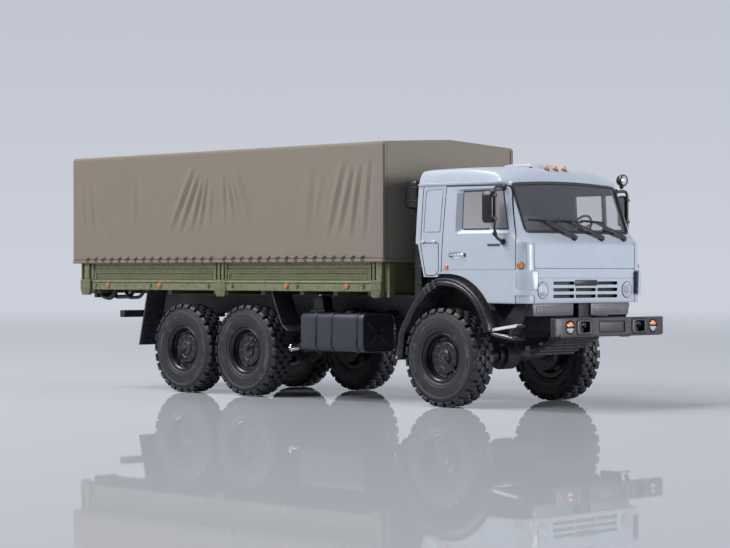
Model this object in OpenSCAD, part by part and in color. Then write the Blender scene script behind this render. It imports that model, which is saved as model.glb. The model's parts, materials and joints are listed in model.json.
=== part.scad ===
// Six-wheel military cargo truck with a canvas tilt, as a 1:43 die-cast display model.
// X points forward, Y to the left and Z up. Inside the modules X is counted from the front axle.

/* [Wheels] */
// Radius of a tyre at the tips of its lugs
tyre_r = 14.6; // [13.5:0.1:15]
// Width of a tyre across its side walls
tyre_w = 8.2; // [7.8:0.1:8.6]
// Depth of the tread lugs
lug_h = 0.8; // [0.4:0.1:1.2]
// Radius of the rim flange
rim_r = 7.4; // [6.8:0.1:8.2]
// Distance between the middle planes of the left and right tyres
track = 49; // [48.4:0.1:49.8]
// Radius of the steel axle pin that a wheel turns on
pin_r = 1; // [0.7:0.05:1.4]
// Running clearance between the pin and the wheel's bore, on the radius
pin_clear = 0.05; // [0.03:0.01:0.08]

/* [Chassis] */
// Distance from the front axle to the middle axle
wheelbase = 85.8; // [84:0.1:92]
// Distance from the middle axle to the rear axle
bogie_base = 30.7; // [30.4:0.1:33]
// Underside of the frame rails above the ground
frame_z = 26; // [25:0.1:26.5]
// Height of the frame rails
frame_h = 5.6; // [5:0.1:5.8]
// Half of the frame's outer width
frame_half = 10; // [9.4:0.1:10.6]
// Radius of the axle tubes
axle_r = 2; // [1.6:0.1:2.4]
// Radius of the tapped holes for the display base screws
base_screw_r = 1.25; // [1:0.05:1.4]
// Length of the fuel tank
tank_len = 27.6; // [22:0.1:28]

/* [Front] */
// Distance from the front axle to the bumper's face
bumper_reach = 41.6; // [40:0.1:43]
// Half of the bumper's width
bumper_half = 25.5; // [24.5:0.1:26.5]
// Underside of the bumper above the ground
bumper_z = 21.4; // [21.3:0.1:22.2]
// Height of the bumper
bumper_h = 5.2; // [4.6:0.1:5.2]
// Radius of the bumper's lamps
bumper_lamp_r = 2; // [1.5:0.05:2.1]

/* [Cab] */
// Half of the cab's width at the doors
cab_half = 27; // [26.6:0.1:27.4]
// Front panel of the cab, ahead of the front axle
cab_front = 31.6; // [31:0.1:32.4]
// Rear wall of the cab, behind the front axle
cab_back = 10.8; // [10:0.1:11]
// Underside of the front panel and doors
cab_z = 30.7; // [30.5:0.1:31]
// Foot of the windscreen
belt_z = 51; // [50:0.1:52]
// Height of the windscreen, from its foot to the drip line under the roof
screen_rise = 14.2; // [13.2:0.1:15]
// Height of the roof above the drip line
roof_rise = 5.8; // [5:0.1:7]
// Thickness of the cab's walls
cab_wall = 1.2; // [0.9:0.1:1.4]
// Radius of the headlamps
headlamp_r = 2.1; // [1.6:0.05:2.4]

/* [Load bed] */
// Distance from the front axle to the front face of the tilt
tilt_front = 22.2; // [21.8:0.1:23]
// Length of the tilt
tilt_len = 151.2; // [148:0.1:156]
// Half of the tilt's width
tilt_half = 29.6; // [29:0.1:30.4]
// Lower hem of the tilt above the ground
tilt_z = 42.9; // [42:0.1:44]
// Eaves of the tilt above the ground
eaves_z = 78.4; // [74:0.1:84]
// Rise of the ridge above the eaves
ridge_rise = 2.4; // [1:0.1:5]
// Thickness of the tilt's sheet
tilt_wall = 0.8; // [0.6:0.1:1]
// Top of the bed's floor above the ground
bed_z = 36.4; // [36:0.1:37]
// Top of the bed's boards above the ground
board_top = 47; // [45:0.1:50]

/* [Hidden] */
$fn = 64;

// Small gaps: between seated pieces, and around lamps and glass in their openings
seat_gap = 0.2;
fit_gap = 0.08;

// The part's origin is under the middle of its length
tilt_back = tilt_front + tilt_len;
front_axle_x = (tilt_back - bumper_reach) / 2;

// Levels and places that follow from the driving sizes
frame_top = frame_z + frame_h;
frame_back = 157;
middle_x = -wheelbase;
rear_x = -wheelbase - bogie_base;
bogie_x = (middle_x + rear_x) / 2;
wheel_y = track / 2;
tyre_half = tyre_w / 2;
drum_out = wheel_y - tyre_half + 0.1;
rail_w = 2.2;
rail_web = 0.8;
rail_in = frame_half - rail_w;
horn_z = bumper_z + 1.1;
horn_h = 4.2;
horn_x = 15.2;
rail_front = 16.6;
bumper_wall = 1;
bumper_depth = 2.9;
bumper_back = bumper_reach - bumper_depth;
arch_x = 4;
arch_r = 24.3;
arch_flat_x = -2.3;
arch_z = tyre_r + arch_r;
hatch_z = arch_z - 0.6;
cab_in = cab_half - cab_wall;
drip_z = belt_z + screen_rise;
roof_z = drip_z + roof_rise;
screen_foot_x = cab_front - 2.9;
screen_top_x = cab_front - 8.2;
screen_rake = atan2(screen_foot_x - screen_top_x, drip_z - belt_z);
tub_z = arch_z + 0.4;
tub_floor = 1.2;
tub_half = cab_in - seat_gap;
bed_back = tilt_back - 3.4;
bed_front = tilt_front + 2;
post_half = tilt_half - tilt_wall - seat_gap;
board_half = post_half - 0.5;
board_in = board_half - 0.7;
floor_t = 2.2;
floor_low = bed_z - floor_t;
sill_z = floor_low - 0.4;
sill_h = 3.1;
beam_z = frame_top;
beam_h = 1;
tank_back = 60.5;
tank_half = 27.5;
tank_in = 13.5;
tank_z = 15.2;
tank_h = 11.9;

// Bed posts along each side: back edge and front edge, behind the front axle
post_table = [[bed_back, bed_back - 6.9], [100, 94], [bed_front + 4.6, bed_front - 0.6]];
// Orange markers along each side of the bed, behind the front axle
bed_marker_xs = [155, 127.6, 65.7, 38.6];
// Crossmembers of the frame, behind the front axle
cross_xs = [-24, -15, 26, 47, 76, bogie_x * -1, 131, frame_back - 1.5];
// Display base screws, in two of those crossmembers
screw_xs = [-15, 131];
// Wheels: side along Y and place along X
wheel_places = [[-1, 0], [1, 0], [-1, middle_x], [1, middle_x], [-1, rear_x], [1, rear_x]];
// Grille slots: lower edge of each row, and the two ends of each column
slot_rows = [cab_z + 1.5, cab_z + 3.4, cab_z + 5.3];
slot_columns = [[-14.7, -5.3], [-4.6, 4.6], [5.3, 14.7]];
slot_h = 1;

module block(x, y, z) {
  translate([x[0], y[0], z[0]]) cube([x[1] - x[0], y[1] - y[0], z[1] - z[0]]);
}

// Outline in X and Z, as thick as the span y
module side_plate(y) {
  translate([0, y[1], 0]) rotate([90, 0, 0]) linear_extrude(y[1] - y[0]) children();
}

// Outline in Y and Z, as long as the span x
module front_plate(x) {
  translate([x[0], 0, 0]) rotate([90, 0, 90]) linear_extrude(x[1] - x[0]) children();
}

module rod_y(x, z, r, y) {
  translate([x, y[1], z]) rotate([90, 0, 0]) cylinder(r = r, h = y[1] - y[0]);
}

module rod_x(y, z, r, x) {
  translate([x[0], y, z]) rotate([0, 90, 0]) cylinder(r = r, h = x[1] - x[0]);
}

// Round bar between two points
module bar(p, q, r) {
  d = q - p;
  translate(p) rotate([0, acos(d[2] / norm(d)), atan2(d[1], d[0])]) cylinder(r = r, h = norm(d));
}

module rounded(w, h, r) {
  square([w, h - 2 * r], center = true);
  square([w - 2 * r, h], center = true);
  for (sx = [-1, 1], sy = [-1, 1]) translate([sx * (w / 2 - r), sy * (h / 2 - r)]) circle(r);
}

module both_sides() {
  children();
  mirror([0, 1, 0]) children();
}

function arc(cx, cz, r, from, to, steps) =
  [for (i = [0:steps]) let (a = from + (to - from) * i / steps) [cx + r * cos(a), cz + r * sin(a)]];

function reversed(list) = [for (i = [len(list) - 1:-1:0]) list[i]];

// The same outline moved towards a centre by the distance t
function drawn_in(points, centre, t) = [for (p = points) centre + (p - centre) * (1 - t / norm(p - centre))];

// A wheel's own axis is Z here, with the outer side up; this stands it at its place
module stand_wheel(side, x) {
  translate([x, side * wheel_y, tyre_r]) rotate([-side * 90, 0, 0]) children();
}

// Tyre: lugs across the tread and over the shoulders, one casing with them, and one lug straight down

bead_half = tyre_half - 1.2;
bead_r = rim_r - 0.75;
bead_sides = 18;
lug_count = 26;
lug_pitch = 360 / lug_count;
// Share of the pitch that a lug's tip takes
lug_share = 0.54;
shoulder_w = 0.7;
shoulder_scale = 0.9;

// Many-sided ring whose flats lie at the radius r
function ring(r, n) = [for (i = [0:n - 1]) r / cos(180 / n) * [cos(i * 360 / n), sin(i * 360 / n)]];

module tread_outline() {
  tip_r = tyre_r / cos(lug_share * lug_pitch / 2);
  polygon([
    for (i = [0:lug_count - 1], p = [[0.5 - lug_share / 2, tip_r], [0.5 + lug_share / 2, tip_r], [1, tyre_r - lug_h]])
      p[1] * [cos((i + p[0]) * lug_pitch), sin((i + p[0]) * lug_pitch)]
  ]);
}

module tyre() {
  tread_half = tyre_half - shoulder_w;
  difference() {
    union() {
      translate([0, 0, -tread_half]) linear_extrude(2 * tread_half) tread_outline();
      for (s = [0, 1])
        mirror([0, 0, s]) translate([0, 0, tread_half]) linear_extrude(shoulder_w, scale = shoulder_scale) tread_outline();
    }
    translate([0, 0, -tyre_half - 1]) linear_extrude(tyre_w + 2) polygon(ring(bead_r, bead_sides));
    for (s = [0, 1])
      mirror([0, 0, s]) translate([0, 0, bead_half]) linear_extrude(tyre_half) polygon(ring(rim_r + 0.1, bead_sides));
  }
}

// Rim with its disc and hub

barrel_out = bead_r - 0.05;
barrel_in = barrel_out - 0.7;
flange_in = bead_half + 0.05;
flange_out = flange_in + 0.55;
disc_z = -0.2;
hub_r = 4.7;
hub_z = 1.8;
hub_cap_r = 2.3;
hub_cap_z = 2.7;
hub_back_z = -3.4;
bore_end = 1.6;
hub_bolt_count = 10;
hub_bolt_ring = 3.6;

module rim(bored) {
  difference() {
    union() {
      rotate_extrude()
        polygon([
          [barrel_in, -flange_out], [rim_r, -flange_out], [rim_r, -flange_in], [barrel_out, -flange_in],
          [barrel_out, flange_in], [rim_r, flange_in], [rim_r, flange_out], [barrel_in, flange_out]
        ]);
      translate([0, 0, disc_z]) cylinder(r = barrel_in + 0.2, h = 0.8);
      translate([0, 0, disc_z]) cylinder(r = hub_r, h = hub_z - disc_z);
      translate([0, 0, disc_z]) cylinder(r = hub_cap_r, h = hub_cap_z - disc_z);
      translate([0, 0, hub_back_z]) cylinder(r = pin_r + 1.4, h = disc_z - hub_back_z + 0.4);
      for (i = [0:hub_bolt_count - 1])
        rotate(i * 360 / hub_bolt_count) translate([hub_bolt_ring, 0, hub_z - 0.1]) cylinder(r = 0.4, h = 0.4);
    }
    if (bored) translate([0, 0, hub_back_z - 1]) cylinder(r = pin_r + pin_clear, h = bore_end - hub_back_z + 1);
  }
}

// Axles: tube, differential, drums and the pin ends

diff_r = 4.2;
drum_r = barrel_in - 0.7;
pin_end = wheel_y + bore_end - 0.2;
pad_z = tyre_r + axle_r;
spring_y = frame_half - rail_w / 2;
spring_w = 2;

module axle(x, nose, rod) {
  rod_y(x, tyre_r, axle_r, [-drum_out + 2, drum_out - 2]);
  rod_y(x, tyre_r, pin_r, [-pin_end, pin_end]);
  rod_y(x, tyre_r, diff_r, [-2.6, 2.6]);
  rod_y(x, tyre_r, diff_r - 1.3, [-4.6, 4.6]);
  for (d = nose) rod_x(0, tyre_r, 1.8, d > 0 ? [x, x + diff_r + 1.2] : [x - diff_r - 1.2, x]);
  both_sides() {
    rod_y(x, tyre_r, drum_r, [drum_out - 3, drum_out]);
    block([x - 1.6, x + 1.6], [spring_y - spring_w / 2, spring_y + spring_w / 2], [tyre_r, pad_z]);
    if (rod) block([x - 4.6, x], [drum_out - 3.4, drum_out - 2.6], [tyre_r - 0.8, tyre_r + 0.8]);
  }
  if (rod) rod_y(x - 4.2, tyre_r, 0.6, [-drum_out + 3, drum_out - 3]);
}

module front_axle() color("#17181a") axle(0, [-1], true);
module middle_axle() color("#17181a") axle(middle_x, [1, -1], false);
module rear_axle() color("#17181a") axle(rear_x, [1], false);

// Leaf springs: the front pair sags to its axle, the rear pair bridges the two rear axles

leaf_t = 0.8;
front_leaf_r = 50;
front_spring_half = 15;
rear_leaf_r = 60;

module front_spring() {
  pack_z = pad_z + 1.4;
  rise = front_leaf_r - sqrt(pow(front_leaf_r, 2) - pow(front_spring_half, 2));
  side_plate([spring_y - spring_w / 2, spring_y + spring_w / 2]) {
    for (i = [0:2])
      intersection() {
        translate([0, pack_z + front_leaf_r + (2 - i) * 0])
          difference() {
            circle(front_leaf_r - leaf_t * (1 - i) + 0.02);
            circle(front_leaf_r - leaf_t * (2 - i));
          }
        translate([-front_spring_half + i * 4, pack_z - 3]) square([2 * front_spring_half - i * 8, 10]);
      }
    translate([-1.6, pad_z]) square([3.2, 2.2]);
    for (s = [-1, 1])
      translate([s * (front_spring_half - 1) - 1, pack_z + rise - 0.9]) square([2, frame_z - pack_z - rise + 0.9]);
  }
}

module rear_spring() {
  top_z = tyre_r + axle_r + 5.2;
  half = bogie_base / 2 - 1.8;
  side_plate([spring_y - spring_w / 2, spring_y + spring_w / 2]) {
    for (i = [0:2])
      intersection() {
        translate([bogie_x, top_z - rear_leaf_r])
          difference() {
            circle(rear_leaf_r - leaf_t * (2 - i) + 0.02);
            circle(rear_leaf_r - leaf_t * (3 - i));
          }
        translate([bogie_x - half + i * 4, top_z - 6]) square([2 * half - i * 8, 8]);
      }
    translate([bogie_x - 2.4, top_z - 4]) square([4.8, frame_z - top_z + 4]);
  }
}

module leaf_springs() color("#1b1c1e") both_sides() {
  front_spring();
  rear_spring();
}

// Frame: two channel rails, horns that carry the bumper, crossmembers and bosses for the base screws

boss_r = 2.6;
boss_z = frame_z - 1.5;

module rail() {
  difference() {
    block([-frame_back, rail_front], [rail_in, frame_half], [frame_z, frame_top]);
    block([-frame_back - 1, horn_x - 1], [rail_in - 1, frame_half - rail_web], [frame_z + 0.8, frame_top - 0.8]);
  }
  block([horn_x, bumper_back], [rail_in, frame_half], [horn_z, horn_z + horn_h]);
}

module chassis_frame() color("#1a1b1d") difference() {
  union() {
    both_sides() rail();
    for (x = cross_xs)
      block([-x - 1.5, -x + 1.5], [-frame_half + rail_web, frame_half - rail_web],
        x == cross_xs[0] ? [horn_z + 1, horn_z + horn_h] : [frame_z, frame_top - 0.9]);
    for (x = screw_xs) translate([-x, 0, boss_z]) cylinder(r = boss_r, h = 4.2);
  }
  for (x = screw_xs) translate([-x, 0, boss_z - 1]) cylinder(r = base_screw_r, h = 10);
}

// Engine, seen from below between the rails

engine_x = [-8, -screw_xs[0] - boss_r - seat_gap];

module engine_block() color("#202124")
  block(engine_x, [-rail_in + 1.4, rail_in - 1.4], [tyre_r + diff_r + 1.4, tub_z - 2]);

// Gearbox, transfer case and propeller shafts

shaft_r = 0.8;
gearbox_back = engine_x[0] - 14;
transfer_x = [gearbox_back - 19, gearbox_back - 8];
diff_face = diff_r + 1.2 + 0.1;

module drive_line() color("#1c1d1f") {
  block([gearbox_back, engine_x[0] - seat_gap], [-3.4, 3.4], [tyre_r + 5.2, frame_z - 0.3]);
  block([transfer_x[1] - 1, gearbox_back + 1], [-2, 2], [tyre_r + 6.4, frame_z - 1.5]);
  block(transfer_x, [-5, 5], [tyre_r - 0.4, frame_z - 0.4]);
  bar([-diff_face, 0, tyre_r], [transfer_x[1] - 1, 0, tyre_r + 2], shaft_r);
  bar([middle_x + diff_face, 0, tyre_r], [transfer_x[0] + 1, 0, tyre_r + 2], shaft_r);
  bar([middle_x - diff_face, 0, tyre_r], [rear_x + diff_face, 0, tyre_r], shaft_r);
}

// Fuel tank on the right, with its straps and brackets

strap_xs = [36, 47, 54];
strap_w = 1.3;
strap_t = 0.25;

module tank_outline(grow) {
  translate([-(tank_half + tank_in) / 2, tank_z + tank_h / 2])
    rounded(tank_half - tank_in + 2 * grow, tank_h + 2 * grow, 2 + grow);
}

module fuel_tank() color("#3d4149") {
  front_plate([-tank_back, tank_len - tank_back]) tank_outline(0);
  for (x = strap_xs) {
    front_plate([-x - strap_w / 2, -x + strap_w / 2]) tank_outline(strap_t);
    block([-x - 0.6, -x + 0.6], [-tank_in - 1, -frame_half], [frame_z - 2.5, frame_z + 2]);
  }
}

// Battery box and air tanks on the left

battery_x = [-34.5, -20.5];
battery_z = [tank_z + 2.3, tank_z + 12.8];

module battery_box() color("#1e1f22") {
  block(battery_x, [tank_in, tank_half - 1], battery_z);
  block([battery_x[0] - 0.3, battery_x[1] + 0.3], [tank_in - 0.2, tank_half - 0.6], [battery_z[1], battery_z[1] + 0.6]);
  for (x = [battery_x[0] + 2, battery_x[1] - 3.2])
    block([x, x + 1.2], [frame_half, tank_in + 0.5], [frame_z - 1, frame_z + 1.6]);
}

air_tank_r = 3.1;
air_tank_y = 20;
air_tank_x = [-60, -38];
air_tank_zs = [tank_z + 2.4, tank_z + 9.6];

module air_tanks() color("#1e1f22") {
  for (z = air_tank_zs) rod_x(air_tank_y, z, air_tank_r, air_tank_x);
  for (x = [air_tank_x[0] + 3, air_tank_x[1] - 4.2]) {
    block([x, x + 1.2], [air_tank_y - 1, air_tank_y + 1], [air_tank_zs[0], air_tank_zs[1]]);
    block([x, x + 1.2], [frame_half, air_tank_y], [frame_z - 1, frame_z + 0.6]);
  }
}

// Silencer with its bright tail pipe

silencer_x = -tank_back - 3.4;
silencer_z = tank_z + 1.8;
silencer_r = 2.4;
silencer_out = tank_half - 5.5;

module exhaust() color("#2a2b2e") {
  rod_y(silencer_x, silencer_z, silencer_r, [-silencer_out, -frame_half + 1]);
  bar([silencer_x, 1 - silencer_out, silencer_z - 0.4], [silencer_x - 1.9, 2.1 - tank_half, silencer_z - 1], 1);
  block([silencer_x - 0.6, silencer_x + 0.6], [-frame_half, -frame_half + 1.6], [silencer_z, frame_z]);
}

// Bumper: pressed channel with seats for the lamps, openings for the tow hooks and a plain recess

lamp_y = 19;
hook_y = 12.6;
hook_w = 4.6;
hook_h = 3.2;
recess_w = 11.4;
recess_h = 3.3;
bumper_mid = bumper_z + bumper_h / 2;

module bumper_outline(grow) {
  translate([bumper_back, 0]) polygon([
    [grow > 0 ? -1 : 0, bumper_half - grow], [bumper_depth - 1.6, bumper_half - grow],
    [bumper_depth - grow, bumper_half - 1.8 - grow / 2], [bumper_depth - grow, -bumper_half + 1.8 + grow / 2],
    [bumper_depth - 1.6, -bumper_half + grow], [grow > 0 ? -1 : 0, -bumper_half + grow]
  ]);
}

module bumper() color("#4a4b50") difference() {
  translate([0, 0, bumper_z]) linear_extrude(bumper_h) bumper_outline(0);
  difference() {
    translate([0, 0, bumper_z + bumper_wall]) linear_extrude(bumper_h - 2 * bumper_wall) bumper_outline(bumper_wall);
    both_sides() block([bumper_back, bumper_back + 0.8], [rail_in - 1, frame_half + 1], [bumper_z, bumper_z + bumper_h]);
  }
  for (s = [-1, 1]) {
    rod_x(s * lamp_y, bumper_mid, bumper_lamp_r + fit_gap, [bumper_back + 1, bumper_reach + 1]);
    front_plate([bumper_back - 1, bumper_reach + 1]) translate([s * hook_y, bumper_mid]) rounded(hook_w, hook_h, 0.8);
  }
  front_plate([bumper_reach - 0.3, bumper_reach + 1]) translate([0, bumper_mid]) rounded(recess_w, recess_h, 0.5);
}

// Ribbed guard that slopes back from the horns, on a bracket under each

valance_half = frame_half - 0.8;
valance_top = [bumper_reach - 9.4, horn_z - 0.85];
valance_foot = [bumper_reach - 23.2, bumper_z - 6.1];
valance_t = 0.8;
valance_ribs = 8;
valance_tab = [bumper_reach - 12, bumper_reach - 10];

module lower_valance() color("#2b2c30") {
  along = (valance_top - valance_foot) / norm(valance_top - valance_foot);
  out = [along[1], -along[0]];
  side_plate([-valance_half, valance_half])
    polygon([valance_foot, valance_top, valance_top - valance_t * out, valance_foot - valance_t * out]);
  for (i = [0:valance_ribs - 1]) {
    p = valance_foot + (valance_top - valance_foot) * (i + 0.5) / valance_ribs;
    side_plate([0.3 - valance_half, valance_half - 0.3])
      polygon([for (q = [[-0.5, -0.4], [0.5, -0.4], [0.4, 0.65], [-0.4, 0.65]]) p + q[0] * along + q[1] * out]);
  }
  both_sides() block(valance_tab, [rail_in + 0.2, valance_half], [horn_z - 2.2, horn_z - 0.1]);
}

// Steps below the doors

step_y = [cab_half - 4.2, cab_half];
step_t = 0.7;
step_back = arch_x + 16.4;
step_front = cab_front - 3.6;
step_top = cab_z - seat_gap;
step_low = cab_z - 9.8;
step_high = cab_z - 7;
// Treads: back and front end along X, and underside
step_table = [[step_back, step_front, step_high], [step_back - 1, step_front - 2, step_low]];

module cab_steps() color("#232427") both_sides() {
  for (t = step_table) block([t[0], t[1]], step_y, [t[2], t[2] + step_t]);
  side_plate([step_y[0], step_y[0] + 0.8])
    polygon([
      [step_back, step_low], [step_front - 3, step_low], [step_front + 0.4, step_high], [step_front + 3, step_top],
      [step_back + 2.4, step_top], [step_back + 1.5, step_high + 3.3], [step_back, step_high]
    ]);
  side_plate([step_y[1] - 1, step_y[1] - 0.2])
    polygon([
      [step_front - 3.2, step_low], [step_front - 2.2, step_low], [step_front + 0.6, step_high],
      [step_front + 3, step_top], [step_front + 0.6, step_top], [step_front - 1.2, step_high + 0.5]
    ]);
}

// Front fenders: a bent skin over the wheel with a lip along its outer edge

fender_y = [wheel_y - tyre_half + 0.5, wheel_y + tyre_half - 0.1];
fender_lip = 2.2;
fender_skin = 0.8;
fender_centre = [2, tyre_r];
fender_r = arch_r - 0.1;
// Back edge of the fender, from the end of its flat top down to the flap
fender_tail = [[-4, 21.3], [-9.5, 15.4], [-14.6, 7.4], [-15.4, -0.7]];
fender_outline = concat(
  [[arch_x + 15.4, tyre_r + 8.1], [arch_x + 17.4, tyre_r + 12.4]],
  arc(arch_x, tyre_r, fender_r, 42, 90, 8),
  [[arch_flat_x + 0.8, tyre_r + fender_r], [arch_flat_x - 0.3, tyre_r + fender_r - 1.1]],
  [for (p = fender_tail) [arch_flat_x, tyre_r] + p]
);

module fender_band(t) {
  polygon(concat(fender_outline, reversed(drawn_in(fender_outline, fender_centre, t))));
}

module front_fenders() color("#26272a") both_sides() {
  side_plate(fender_y) fender_band(fender_skin);
  side_plate([fender_y[1] - 0.8, fender_y[1]]) fender_band(fender_lip);
}

// Mudguards before and behind the rear wheels, hung from the bed

guard_y = [19, 27.2];
guard_t = 0.7;
guard_top = floor_low - 0.1;
// Edges along X and Z, from the bed downwards
front_guard_edge = [
  [middle_x + tyre_r - 3.6, guard_top], [middle_x + tyre_r - 1.2, tyre_r + 13.9],
  [middle_x + tyre_r + 1.5, tyre_r + 8.4], [middle_x + tyre_r + 4.2, tyre_r + 6.6]
];
rear_guard_edge = [[rear_x - tyre_r - 4.8, guard_top], [rear_x - tyre_r - 9.4, tyre_r + 0.6]];

module guard(edge, t) {
  side_plate(guard_y) polygon(concat(edge, [for (p = reversed(edge)) p + [t, 0]]));
}

module rear_mudguards() color("#1b1c1e") both_sides() {
  guard(front_guard_edge, guard_t);
  guard(rear_guard_edge, guard_t);
}

// Rear underride bar with the towing jaw

bar_x = [-frame_back - 2.5, -frame_back];
bar_half = 20;
bar_z = [frame_z - 1.8, frame_z + 0.6];
jaw_r = 0.9;

module underride_bar() color("#1d1e20") {
  block(bar_x, [-bar_half, bar_half], bar_z);
  block([-frame_back - 1, -frame_back], [-4, 4], [bar_z[0], frame_top]);
  difference() {
    block([-frame_back - 5.6, -frame_back - 0.5], [-1.8, 1.8], [frame_z + 1.6, frame_z + 4]);
    translate([-frame_back - 3.8, 0, frame_z]) cylinder(r = jaw_r, h = 6);
  }
}

// Tail lamps under the back of the bed

tail_lamp_x = [-bed_back + 1, -bed_back + 3.2];
tail_lamp_y = [15, 24];

module tail_lamps() color("#7a1512") both_sides()
  block(tail_lamp_x, tail_lamp_y, [floor_low - 3.2, floor_low - 0.1]);

// Cab: a hollow casting, cut from side, front and top outlines

roof_edge_z = roof_z - 1.5;
cab_crown = 0.4;
// How far the hollow is cut past the open underside
cab_drop = 20;

module cab_side_outline(t) {
  drop = t > 0 ? cab_drop : 0;
  polygon([
    [cab_front - t, cab_z - drop], [cab_front - t, belt_z - 3.4], [cab_front - 0.5 - t, belt_z - 2.6],
    [screen_foot_x - t, belt_z], [screen_top_x - t, drip_z], [screen_top_x - 0.8 - t, (drip_z + roof_edge_z) / 2],
    [screen_top_x - 2.6 - t, roof_edge_z - t / 2], [6, roof_z - t], [-cab_back + 3 + t, roof_z - cab_crown - t],
    [-cab_back + 1.4 + t, roof_edge_z - t], [-cab_back + 0.6 + t, drip_z], [-cab_back + t, belt_z - 3],
    [-cab_back + 2.6 + t, hatch_z - drop], [arch_flat_x, hatch_z - drop], [arch_flat_x, cab_z - drop]
  ]);
}

module cab_front_outline(t) {
  half = [for (p = [
    [cab_half, cab_z - cab_drop], [cab_half, belt_z - 2], [cab_half - 1, drip_z], [cab_half - 1.2, drip_z + 0.8],
    [cab_half - 1.7, roof_edge_z - 0.8], [cab_half - 2.6, roof_edge_z + 0.2], [cab_half - 4.4, roof_edge_z + 0.7], [0, roof_z + 0.1]
  ]) p - [p[0] > 0 ? t : 0, p[1] > roof_edge_z - 1 ? t : 0]];
  polygon(concat(half, [for (i = [len(half) - 2:-1:0]) [-half[i][0], half[i][1]]]));
}

// Seen from above, with round corners
module cab_top_outline(t) {
  translate([(cab_front - cab_back) / 2, 0]) rounded(cab_front + cab_back - 2 * t, 2 * (cab_half - t), 3.4 - t);
}

module cab_form(t) {
  intersection() {
    side_plate([-cab_half, cab_half]) cab_side_outline(t);
    front_plate([-cab_back, cab_front]) cab_front_outline(t);
    translate([0, 0, cab_z - cab_drop]) linear_extrude(roof_z - cab_z + 2 * cab_drop) cab_top_outline(t);
  }
}

// A flat outline laid in the plane of the windscreen, with its foot at the belt line
module on_windscreen(depth) {
  translate([screen_foot_x, 0, belt_z]) rotate([0, -screen_rake, 0])
    translate([-depth[1], 0, 0]) rotate([90, 0, 90]) linear_extrude(depth[1] - depth[0]) children();
}

screen_h = (drip_z - belt_z) / cos(screen_rake);
screen_edge = 0.7;
screen_half = 22.6;

module screen_outline(gap) {
  translate([0, screen_h / 2]) rounded(2 * (screen_half - gap), screen_h - 2 * screen_edge - 2 * gap, 1.6);
}

// Door windows: the main pane, and the quarter light ahead of it
pane_z = [belt_z + 1.3, drip_z - 2.1];
main_pane_x = [7.2, 17.9];
quarter_x = [18.7, 24.6];
quarter_top_x = 22.2;

module pane_outline(gap) {
  polygon([
    [main_pane_x[0] + gap, pane_z[0] + gap], [main_pane_x[1] - gap, pane_z[0] + gap],
    [main_pane_x[1] - gap, pane_z[1] - gap], [main_pane_x[0] + gap, pane_z[1] - gap]
  ]);
  polygon([
    [quarter_x[0] + gap, pane_z[0] + gap], [quarter_x[1] - gap, pane_z[0] + gap],
    [quarter_top_x - gap, pane_z[1] - gap], [quarter_x[0] + gap, pane_z[1] - gap]
  ]);
}

headlamp_y = 19.3;
headlamp_z = cab_z + 3.8;
turn_z = cab_z + 10.8;
turn_r = 1.2;
turn_axis = 35;
hatch_x = [4.6, 16];
hatch_half = 6;

// The turn lamps sit on the rounded front corners, turned out from straight ahead
module on_corner() {
  both_sides() translate([cab_front - 3.4, cab_half - 3.4, turn_z]) rotate([0, 90, 90 - turn_axis]) children();
}

module cab_shell() color("#c3ccd8") difference() {
  union() {
    cab_form(0);
    block(hatch_x, [-hatch_half, hatch_half], [roof_z - 1.6, roof_z + 0.7]);
  }
  cab_form(cab_wall);
  rod_y(arch_x, tyre_r, arch_r, [-cab_half - 1, cab_half + 1]);
  block([arch_flat_x, arch_x], [-cab_half - 1, cab_half + 1], [0, arch_z]);
  on_windscreen([-3, 4]) screen_outline(0);
  side_plate([-cab_half - 1, cab_half + 1]) pane_outline(0);
  for (z = slot_rows, c = slot_columns) block([cab_front - 3, cab_front + 1], c, [z, z + slot_h]);
  for (s = [-1, 1]) rod_x(s * headlamp_y, headlamp_z, headlamp_r + fit_gap, [cab_front - 3, cab_front + 1]);
  on_corner() translate([0, 0, 2]) cylinder(r = turn_r + fit_gap, h = 4);
}

// Interior moulding: floor, engine cover, seats, dashboard and steering wheel

// Seats: lower and upper end along Y
seat_table = [[7, 20], [-20, -4]];
seat_x = [-4, 8];
seat_top = tub_z + 5.4;
back_top = belt_z + 6.5;
dash_x = [22.4, 26.4];
dash_z = [tub_z, belt_z + 0.2];
steer_r = 4.6;

module cab_interior() color("#3a3b40") {
  block([-cab_back + cab_wall + 1.6, dash_x[1]], [-tub_half, tub_half], [tub_z, tub_z + tub_floor]);
  block([-cab_back + cab_wall + 1.6, seat_x[0] - 0.8], [-tub_half, tub_half], [tub_z, tub_z + 6]);
  for (s = seat_table) {
    block(seat_x, s, [tub_z, seat_top]);
    block([seat_x[0], seat_x[0] + 2.6], s, [tub_z, back_top]);
  }
  block([dash_x[0], dash_x[1]], [-tub_half, tub_half], dash_z);
  bar([dash_x[0] + 1, 13.5, dash_z[1] - 1.6], [dash_x[0] - 4, 13.5, dash_z[1] + 1.4], 0.7);
  translate([dash_x[0] - 4, 13.5, dash_z[1] + 1.4]) rotate([0, -59, 0]) difference() {
    cylinder(r = steer_r, h = 0.8);
    for (s = [-1, 1]) translate([0, s * steer_r / 2, -1]) scale(1) cylinder(r = steer_r * 0.36, h = 3);
  }
}

// Glass

glass_t = 0.7;

module windscreen() color("#aebac6", 0.4) on_windscreen([0.1, 0.1 + glass_t]) screen_outline(fit_gap);

// The side glass leans in with the cab's side
side_lean = atan2(1, drip_z - belt_z + 2);

module side_windows() color("#aebac6", 0.4) both_sides() intersection() {
  side_plate([cab_half - 4, cab_half]) pane_outline(fit_gap);
  translate([0, cab_half - 0.3, belt_z - 2]) rotate([side_lean, 0, 0])
    translate([0, -glass_t, 0]) cube([40, glass_t, 30]);
}

// Black plate behind the grille slots, with a plain bar in the top middle slot

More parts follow.
